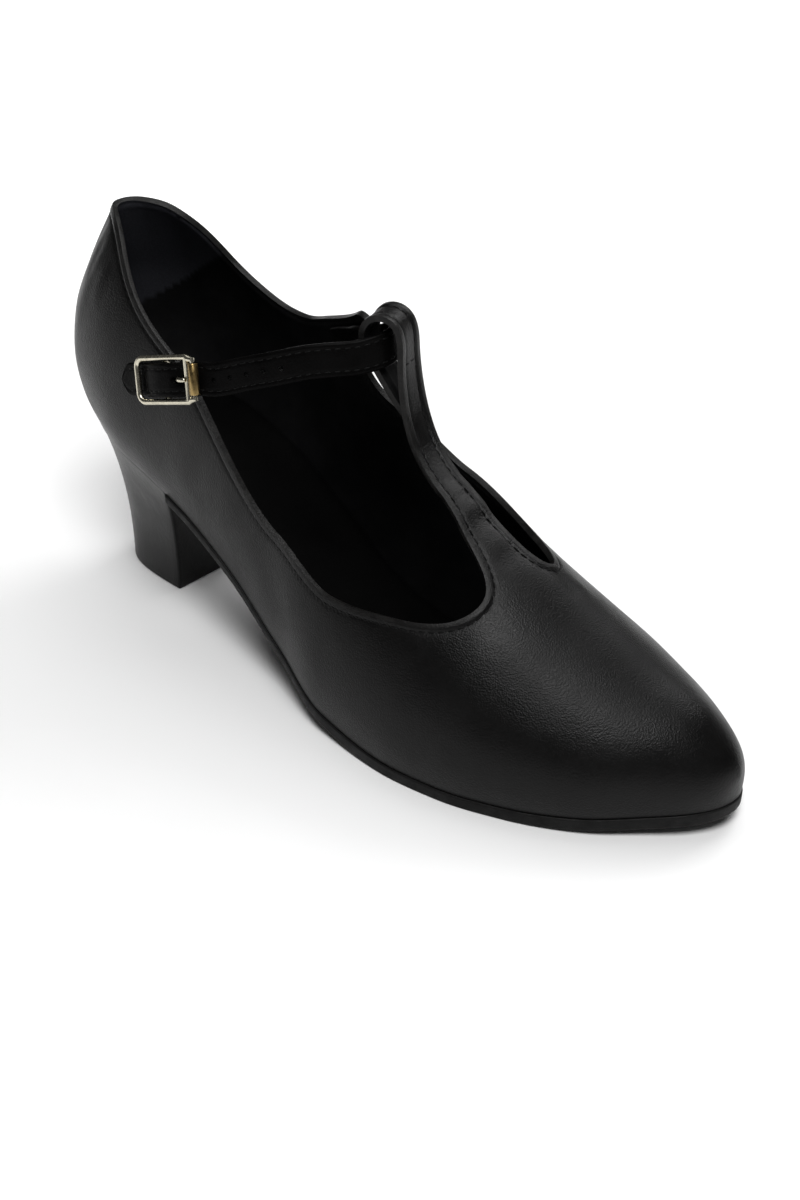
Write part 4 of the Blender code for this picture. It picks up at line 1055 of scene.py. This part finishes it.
def make_outsole(material):
    start = BREAST_AT * LENGTH + GAP
    outline = edge_loop(0, -SOLE_LIP)
    outline = outline[outline[:, 1] > start + 0.3 * MM]
    first = int(np.argmax(np.linalg.norm(outline - np.roll(outline, 1, axis=0), axis=1)))
    outline = np.roll(outline, -first, axis=0)
    ends = [np.array([outline[0][0], start]), np.array([outline[-1][0], start])]
    outline = spaced(np.concatenate([outline, np.linspace(ends[1], ends[0], 30)]), 1.2 * MM)
    points, faces = filled(outline, lattice(outline, PLATE_STEP, 0.55 * PLATE_STEP))
    top = sole_height(points[:, 1]) - GAP
    bottom = np.maximum(top - sole_thickness(points[:, 1]), 0.0)
    outsole = plate("outsole_leather", points, faces, top, bottom)
    round_edges(outsole, OUTSOLE_EASE)
    dress(outsole, "sole_leather", (material,), "outsole")


def heel_rails():
    """The heel's edge in plan at its seat and at its base, from breast round the back and then across."""
    turns = np.linspace(turn_of(BREAST_AT), 0, HEEL_TURNS)
    around = np.concatenate([last_point(turns, 1.0), last_point(turns[:-1], -1.0)[::-1]])
    across = np.linspace(around[-1], around[0], BREAST_STEPS + 1)[1:-1]
    half = HEEL_BASE_WIDTH / 2
    depth = HEEL_BASE_FRONT - HEEL_BASE_BACK
    angle = np.linspace(0, math.pi, len(around))
    power = 2 / HEEL_BASE_SQUARENESS
    base_x = half * np.sign(np.cos(angle)) * np.abs(np.cos(angle)) ** power
    base_y = HEEL_BASE_FRONT - depth * np.sin(angle) ** power
    breast_x = np.linspace(-half, half, len(across) + 2)[1:-1]
    breast = np.column_stack([breast_x, np.full(len(across), HEEL_BASE_FRONT)])
    top = np.concatenate([around, across])
    base = np.concatenate([np.column_stack([base_x, base_y]), breast])
    middle = np.array([0.0, 0.5 * BREAST_AT * LENGTH])
    seat = top.copy()
    seat[:, :2] += unit(middle - top[:, :2]) * HEEL_SETBACK
    seat[:, 1] = np.minimum(seat[:, 1], BREAST_AT * LENGTH - GAP)
    seat[:, 2] = sole_height(seat[:, 1]) - GAP
    return seat, base


def make_heel(leather):
    """A loft of rails from the sole line down to a square-backed base, drawn in quickly under the seat."""
    seat, base = heel_rails()
    rings = []
    for down in np.linspace(0, 1, HEEL_LEVELS):
        drawn = 1 - (1 - down) ** HEEL_DRAW
        plan = seat[:, :2] + (base - seat[:, :2]) * drawn
        rings.append(np.column_stack([plan, seat[:, 2] * (1 - down)]))
    heel = mesh_piece("heel_cover", np.concatenate(rings), tube(HEEL_LEVELS, len(seat)))
    round_edges(heel, HEEL_EASE, angle=42)
    dress(heel, "black_leather", (leather,), "heel")


# Buckle


def wire(name, points, thickness, closed=False, scale=None):
    """A round wire along points, as a closed mesh. scale is its thickness at each point."""
    curve = bpy.data.curves.new(name, "CURVE")
    curve.dimensions = "3D"
    curve.bevel_depth = thickness / 2
    curve.bevel_resolution = 6
    curve.use_fill_caps = True
    spline = curve.splines.new("POLY")
    spline.points.add(len(points) - 1)
    for i, point in enumerate(points):
        spline.points[i].co = (*point, 1)
        spline.points[i].radius = 1 if scale is None else scale[i]
    spline.use_cyclic_u = closed
    drawn = new_object(name, curve)
    mesh = result_mesh(drawn)
    places = [tuple(vertex.co) for vertex in mesh.vertices]
    faces = [tuple(face.vertices) for face in mesh.polygons]
    bpy.data.objects.remove(drawn)
    return mesh_piece(name, places, faces, weld=0.002 * MM)


def make_buckle_frame(metal):
    """A rounded wire rectangle, narrowed to the roller's pin, with a bar inside and one for the prong."""
    angles = np.radians(np.linspace(0, 90, 14))
    tip_side, rail_end = BAR_ALONG - BUCKLE_CORNER, RAIL_ACROSS - BUCKLE_CORNER
    shoulder = ROLLER_LENGTH / 2 + BUCKLE_WIRE / 2
    upper_half = np.concatenate(
        [
            (tip_side, rail_end) + BUCKLE_CORNER * np.stack([np.cos(angles), np.sin(angles)], 1),
            [(share * tip_side, RAIL_ACROSS) for share in (0.5, 0.0, -0.5, -1.0)],
            [(-BAR_ALONG, RAIL_ACROSS)],
            [(-BAR_ALONG - 0.5 * BUCKLE_WIRE, RAIL_ACROSS - 0.3 * BUCKLE_WIRE), (PIN_ALONG, shoulder)],
        ]
    )
    pin = np.array([(PIN_ALONG, ROLLER_LENGTH / 2), (PIN_ALONG, 0), (PIN_ALONG, -ROLLER_LENGTH / 2)])
    outline = np.concatenate([upper_half, pin, upper_half[::-1] * (1, -1)])
    thin = ROLLER_PIN_WIRE / BUCKLE_WIRE
    scale = np.concatenate([np.ones(len(upper_half)), np.full(len(pin), thin), np.ones(len(upper_half))])
    loop = buckle_points(np.column_stack([outline, np.full(len(outline), FRAME_UP)]))
    body = wire("buckle_frame_metal", loop, BUCKLE_WIRE, closed=True, scale=scale)
    bar_ends = [(-BAR_ALONG, side * RAIL_ACROSS, FRAME_UP) for side in (1, -1)]
    bar = wire("roller_side_bar", buckle_points(bar_ends), BUCKLE_WIRE)
    low = RAIL_ACROSS - CENTRE_BAR_SET_IN
    sunk = [(0, RAIL_ACROSS, FRAME_UP), (0, low + 0.3 * CENTRE_BAR_SET_IN, BAR_UP + CENTRE_BAR_WIRE)]
    sunk += [(0, low - 0.6 * CENTRE_BAR_WIRE, BAR_UP), (0, -low + 0.6 * CENTRE_BAR_WIRE, BAR_UP)]
    sunk += [(0, -low - 0.3 * CENTRE_BAR_SET_IN, BAR_UP + CENTRE_BAR_WIRE), (0, -RAIL_ACROSS, FRAME_UP)]
    centre_bar = wire("centre_bar", buckle_points(sunk), CENTRE_BAR_WIRE)
    combine(body, [bar, centre_bar], "UNION", 40)
    dress(body, "plated_steel", (metal,), "buckle_frame")


def make_buckle_prong(metal):
    """The prong narrows a little towards its blunt end."""
    angles = np.linspace(PRONG_RING_START, math.pi / 2, 14)[:-1]
    ring = np.column_stack([PRONG_RING * np.cos(angles), BAR_UP + PRONG_RING * np.sin(angles)])
    top = BAR_UP + PRONG_RING
    along, rise = np.array(PRONG).T
    shank = np.column_stack([along * BAR_ALONG, top + (PRONG_LYING - top) * rise])
    path = flow(np.concatenate([ring, shank]), WIRE_STEP)
    scale = np.ones(len(path))
    scale[-3:] = (0.96, 0.85, 0.6)
    prong = wire("buckle_prong_metal", in_buckle(path[:, 0], path[:, 1]), PRONG_WIRE, scale=scale)
    dress(prong, "plated_steel", (metal,), "buckle_prong")


def make_buckle_roller(metal):
    """A short tube that turns on the frame's pin."""
    bore = ROLLER_PIN_WIRE / 2 + PRONG_PLAY
    half = ROLLER_LENGTH / 2 - PRONG_PLAY
    ease = 0.25 * MM
    outer = ROLLER_WIRE / 2
    rounded = [(outer - ease, half), (outer - 0.3 * ease, half - 0.3 * ease), (outer, half - ease)]
    other_end = [(radius, -across) for radius, across in rounded[::-1]]
    profile = [(bore, -half), (bore, half), *rounded, *other_end]
    points = []
    for angle in np.linspace(0, 2 * math.pi, ROUND_STEPS, endpoint=False):
        for radius, across in profile:
            points.append((PIN_ALONG + radius * math.cos(angle), across, FRAME_UP + radius * math.sin(angle)))
    faces = tube(ROUND_STEPS, len(profile), capped=False)
    roller = mesh_piece("buckle_roller_metal", buckle_points(points), faces)
    roller.data.set_sharp_from_angle(angle=math.radians(35))
    dress(roller, "plated_steel", (metal,), "buckle_roller")


def make_buckle_tab(leather):
    """The strip that holds the buckle: two layers that meet round the centre bar, slotted for the prong."""
    lower = GAP + TAB_THICKNESS / 2
    upper = lower + TAB_THICKNESS + GAP
    ring = CENTRE_BAR_WIRE / 2 + GAP + TAB_THICKNESS / 2
    angles = np.radians(np.linspace(270, 30, 11))
    round_bar = np.column_stack([ring * np.cos(angles), BAR_UP + ring * np.sin(angles)])
    path = np.concatenate(
        [
            [(TAB_LENGTH, lower), (0.6 * TAB_LENGTH, lower)],
            [(0.25 * TAB_LENGTH, lower + 0.2 * TAB_THICKNESS)],
            round_bar,
            [(0.36 * TAB_LENGTH, upper + 0.3 * TAB_THICKNESS)],
            [(0.55 * TAB_LENGTH, upper), (TAB_LENGTH, upper)],
        ]
    )
    path = flow(path, 1.5 * WIRE_STEP)
    line = in_buckle(path[:, 0], path[:, 1])
    axes = buckle_axes()[1:]
    facing = np.cross(axes[1], np.gradient(line, axis=0))
    tab = loft_band("buckle_tab_leather", line, facing, np.full(len(line), TAB_WIDTH / 2), TAB_THICKNESS)[0]
    slot = PRONG_RING + PRONG_WIRE / 2 + GAP
    across = PRONG_WIRE + 2 * PRONG_SLOT_PLAY
    place = in_buckle([-0.5 * slot], [BAR_UP])[0]
    combine(tab, [hole_cutter(place, axes, 3 * slot, across, 1.2 * BAR_UP)], "DIFFERENCE", 60)
    dress(tab, "black_leather", (leather,), "buckle_tab")


# Materials


class Nodes:
    """Adds nodes to a material and links them, with places taken from the surface itself."""

    def __init__(self, material):
        self.tree = material.node_tree
        self.place = self.new("TexCoord").outputs["Object"]

    def new(self, kind):
        return self.tree.nodes.new("ShaderNode" + kind)

    def fill(self, node, output, values):
        """Sets a node's inputs to constants or to other nodes' outputs, and gives one of its own outputs."""
        for name, value in values.items():
            if isinstance(value, bpy.types.NodeSocket):
                self.tree.links.new(value, node.inputs[name])
            else:
                node.inputs[name].default_value = value
        return node.outputs[output]

    def shade(self, values):
        self.fill(self.tree.nodes["Principled BSDF"], 0, values)

    def noise(self, size, detail=3.0, rough=0.55, stretch=None):
        place = self.place
        if stretch is not None:
            place = self.fill(self.new("Mapping"), "Vector", {"Scale": stretch, "Vector": self.place})
        values = {"Scale": 1 / size, "Detail": detail, "Roughness": rough, "Vector": place}
        return self.fill(self.new("TexNoise"), "Fac", values)

    def cells(self, size, smooth=None):
        node = self.new("TexVoronoi")
        node.feature = "F1" if smooth is None else "SMOOTH_F1"
        if smooth is not None:
            node.inputs["Smoothness"].default_value = smooth
        return self.fill(node, "Distance", {"Scale": 1 / size, "Vector": self.place})

    def span(self, value, low, high, to_low, to_high):
        values = {"Value": value, "From Min": low, "From Max": high, "To Min": to_low, "To Max": to_high}
        return self.fill(self.new("MapRange"), "Result", values)

    def patches(self, size, detail, to_low, to_high, rough=0.55, low=0.3, high=0.7):
        """Noise spread between two values."""
        return self.span(self.noise(size, detail, rough), low, high, to_low, to_high)

    def sum(self, a, b, share):
        """The first value plus a share of the second."""
        node = self.new("Math")
        node.operation = "MULTIPLY_ADD"
        return self.fill(node, "Value", {0: b, 1: share, 2: a})

    def times(self, a, b):
        node = self.new("Math")
        node.operation = "MULTIPLY"
        return self.fill(node, "Value", {0: a, 1: b})

    def blend(self, share, one, two):
        """A colour between two, by a share."""
        node = self.new("Mix")
        node.data_type = "RGBA"
        one, two = ((*colour, 1) if isinstance(colour, tuple) else colour for colour in (one, two))
        return self.fill(node, 2, {"Factor": share, 6: one, 7: two})

    def attribute(self, name):
        node = self.new("Attribute")
        node.attribute_name = name
        return node.outputs["Fac"]

    def bump(self, height, distance, before=None):
        values = {"Distance": distance, "Height": height}
        if before is not None:
            values["Normal"] = before
        return self.fill(self.new("Bump"), "Normal", values)


def bare_material(name, colour, roughness, metallic=0.0, specular=0.5):
    material = bpy.data.materials.new(name)
    material.use_nodes = True
    nodes = Nodes(material)
    nodes.shade({"Base Color": (*colour, 1), "Roughness": roughness, "Metallic": metallic})
    nodes.shade({"Specular IOR Level": specular})
    return material, nodes


def tint(colour, factor):
    return tuple(factor * c for c in colour)


def leather_material(name, specular=0.16, grain=0.48 * MM, edges=False):
    """Fine pebbled black calf: small rounded cells in two sizes, finer creases, a soft uneven gloss."""
    material, nodes = bare_material(name, BLACK, 0.45, specular=specular)
    nodes.shade({"Coat Weight": 0.03, "Coat Roughness": 0.3})
    pebble = nodes.cells(grain, smooth=0.35)
    small = nodes.cells(0.45 * grain)
    fine = nodes.noise(0.22 * grain, 2.0)
    height = nodes.sum(nodes.sum(nodes.span(pebble, 0, 0.8, 1, 0), small, -0.35), fine, 0.25)
    first = nodes.bump(nodes.noise(6 * MM, 3.0), 0.09 * MM)
    gloss = nodes.sum(nodes.patches(17 * MM, 4.0, *LEATHER_ROUGHNESS, rough=0.6), pebble, 0.05)
    cloud = nodes.patches(9 * MM, 5.0, 0, 1, rough=0.65, low=0.32)
    tone = nodes.blend(cloud, tint(BLACK, 0.7), tint(BLACK, 1.5))
    scuffs = nodes.noise(2.4 * MM, 6.0, 0.7, stretch=(1.0, 0.35, 0.6))
    tone = nodes.blend(nodes.span(scuffs, 0.66, 0.78, 0, 0.35), tone, SCUFF)
    # A patchy lighter rim along the topline: partly rubbed wear, partly a painted highlight of the folded
    # edge
    if edges:
        rubbed_and_highlight = nodes.times(nodes.attribute("edge"), nodes.patches(3.5 * MM, 4.0, 0.15, 0.75, low=0.35))
        tone = nodes.blend(rubbed_and_highlight, tone, RUBBED_EDGE_AND_HIGHLIGHT)
    nodes.shade({"Base Color": tone, "Roughness": gloss, "Normal": nodes.bump(height, GRAIN_DEPTH, first)})
    return material


def lining_material(name, colour, with_grip):
    """Smooth black lining leather. At the back a softer suede grip, slightly blue."""
    material, nodes = bare_material(name, colour, 0.62, specular=0.05)
    grain = nodes.sum(nodes.noise(0.35 * MM, 3.0), nodes.cells(0.9 * MM), 0.4)
    tone = nodes.blend(nodes.patches(11 * MM, 4.0, 0, 1), tint(colour, 0.75), tint(colour, 1.4))
    rough = nodes.patches(14 * MM, 3.0, 0.55, 0.72)
    if with_grip:
        grip = nodes.attribute("grip")
        nap = nodes.patches(0.5 * MM, 4.0, 0, 1, rough=0.7)
        tone = nodes.blend(grip, tone, nodes.blend(nap, tint(GRIP, 0.8), tint(GRIP, 1.2)))
        rough = nodes.sum(rough, grip, 0.25)
    nodes.shade({"Base Color": tone, "Roughness": rough, "Normal": nodes.bump(grain, 0.03 * MM)})
    return material


def sole_material():
    """Black dyed sole: a burnished edge with fine fibres, and dull specks of wear underneath."""
    material, nodes = bare_material("sole_leather", BLACK, 0.5, specular=0.2)
    fibres = nodes.noise(0.5 * MM, 4.0, 0.65, stretch=(1.0, 0.5, 3.0))
    relief = nodes.bump(nodes.sum(fibres, nodes.cells(1.6 * MM), 0.5), 0.09 * MM)
    worn = nodes.patches(3 * MM, 6.0, 0, 0.6, rough=0.75, low=0.55, high=0.75)
    tone = nodes.blend(worn, BLACK, SOLE_WEAR)
    nodes.shade({"Base Color": tone, "Roughness": nodes.patches(5 * MM, 4.0, 0.45, 0.7), "Normal": relief})
    return material


def metal_material(name, colour, roughness):
    """Plated metal: faint brushing, a slightly uneven tone and tiny dull specks."""
    material, nodes = bare_material(name, colour, roughness, metallic=1.0)
    scratches = nodes.noise(0.4 * MM, 4.0, 0.6, stretch=(4.0, 0.6, 4.0))
    dull = nodes.patches(1.5 * MM, 4.0, 0.8 * roughness, 1.3 * roughness)
    tone = nodes.blend(nodes.patches(2.2 * MM, 3.0, 0, 1), tint(colour, 0.82), tint(colour, 1.06))
    nodes.shade({"Base Color": tone, "Roughness": dull, "Normal": nodes.bump(scratches, 0.004 * MM)})
    return material


def thread_material():
    material, nodes = bare_material("black_thread", THREAD_BLACK, 0.5, specular=0.12)
    twist = nodes.noise(0.18 * MM, 2.0)
    tone = nodes.blend(nodes.span(twist, 0.3, 0.7, 0, 1), tint(THREAD_BLACK, 0.7), THREAD_BLACK)
    nodes.shade({"Base Color": tone, "Normal": nodes.bump(twist, 0.04 * MM)})
    return material


# Floor, light and camera


def make_floor():
    bpy.ops.mesh.primitive_plane_add(size=FLOOR_SIZE)
    floor = bpy.context.object
    floor.name = "floor"
    material, nodes = bare_material("white_floor", (0.93, 0.93, 0.93), 0.9, specular=0.1)
    away = nodes.new("VectorMath")
    away.operation = "LENGTH"
    glow = nodes.span(nodes.fill(away, "Value", {0: nodes.place}), GLOW_FROM, GLOW_TO, 0, FLOOR_GLOW)
    tone = nodes.blend(nodes.patches(0.4, 2.0, 0, 1), (0.92, 0.92, 0.92), (0.94, 0.94, 0.94))
    nodes.shade({"Base Color": tone, "Emission Color": (1, 1, 1, 1), "Emission Strength": glow})
    floor.data.materials.append(material)


def soft_light(name, place, size, power):
    light = bpy.data.lights.new(name, "AREA")
    light.size = size
    light.energy = power
    lamp = new_object(name, light)
    lamp.location = place
    lamp.rotation_euler = (Vector(LIT_POINT) - Vector(place)).to_track_quat("-Z", "Y").to_euler()


def make_light():
    world = bpy.data.worlds.new("studio")
    world.use_nodes = True
    background = world.node_tree.nodes["Background"]
    background.inputs["Color"].default_value = (1, 1, 1, 1)
    background.inputs["Strength"].default_value = WORLD_LIGHT
    bpy.context.scene.world = world
    bpy.context.scene.view_settings.view_transform = "Standard"
    for lamp in LAMPS:
        soft_light(*lamp)


def make_camera():
    yaw, pitch = CAMERA_YAW, CAMERA_PITCH
    ahead = np.array([math.sin(yaw) * math.cos(pitch), math.cos(yaw) * math.cos(pitch), -math.sin(pitch)])
    level = unit(np.cross(ahead, (0, 0, 1)))
    above = np.cross(level, ahead)
    cos, sin = math.cos(CAMERA_ROLL), math.sin(CAMERA_ROLL)
    right, up = level * cos + above * sin, above * cos - level * sin
    data = bpy.data.cameras.new("camera")
    data.sensor_width = SENSOR
    data.lens = SENSOR * CAMERA_FOCUS / PICTURE_HEIGHT
    data.clip_start = 0.01
    camera = new_object("camera", data)
    turn = Matrix([[right[i], up[i], -ahead[i]] for i in range(3)]).to_4x4()
    camera.matrix_world = Matrix.Translation(Vector(np.array(CAMERA_PLACE) + SHIFT)) @ turn
    bpy.context.scene.camera = camera


make_floor()
make_light()
make_camera()

leather = leather_material("black_leather")
upper_leather = leather_material("black_upper_leather", edges=True)
thread = thread_material()
plated = metal_material("champagne_metal", CHAMPAGNE, 0.24)
make_upper(upper_leather, lining_material("black_lining", LINING_BLACK, with_grip=True))
cross_seams = cross_stitches(CROSS_SEAM_ALONG) + cross_stitches(TAIL_SEAM_ALONG)
make_stitches("upper_stitches", topline_stitches() + cross_seams, thread)
make_insole(lining_material("insole_lining", INSOLE_BLACK, with_grip=False))
make_outsole(sole_material())
make_heel(leather)
make_ankle_strap(leather_material("black_strap_leather", specular=0.02, grain=0.5 * MM), thread)
make_buckle_frame(plated)
make_buckle_prong(plated)
# The roller gets a darker, browner copy of the plating: painted shade and a painted darker reflection
make_buckle_roller(metal_material("painted_shade_gold", PAINTED_SHADE_GOLD, 0.3))
make_buckle_tab(leather)
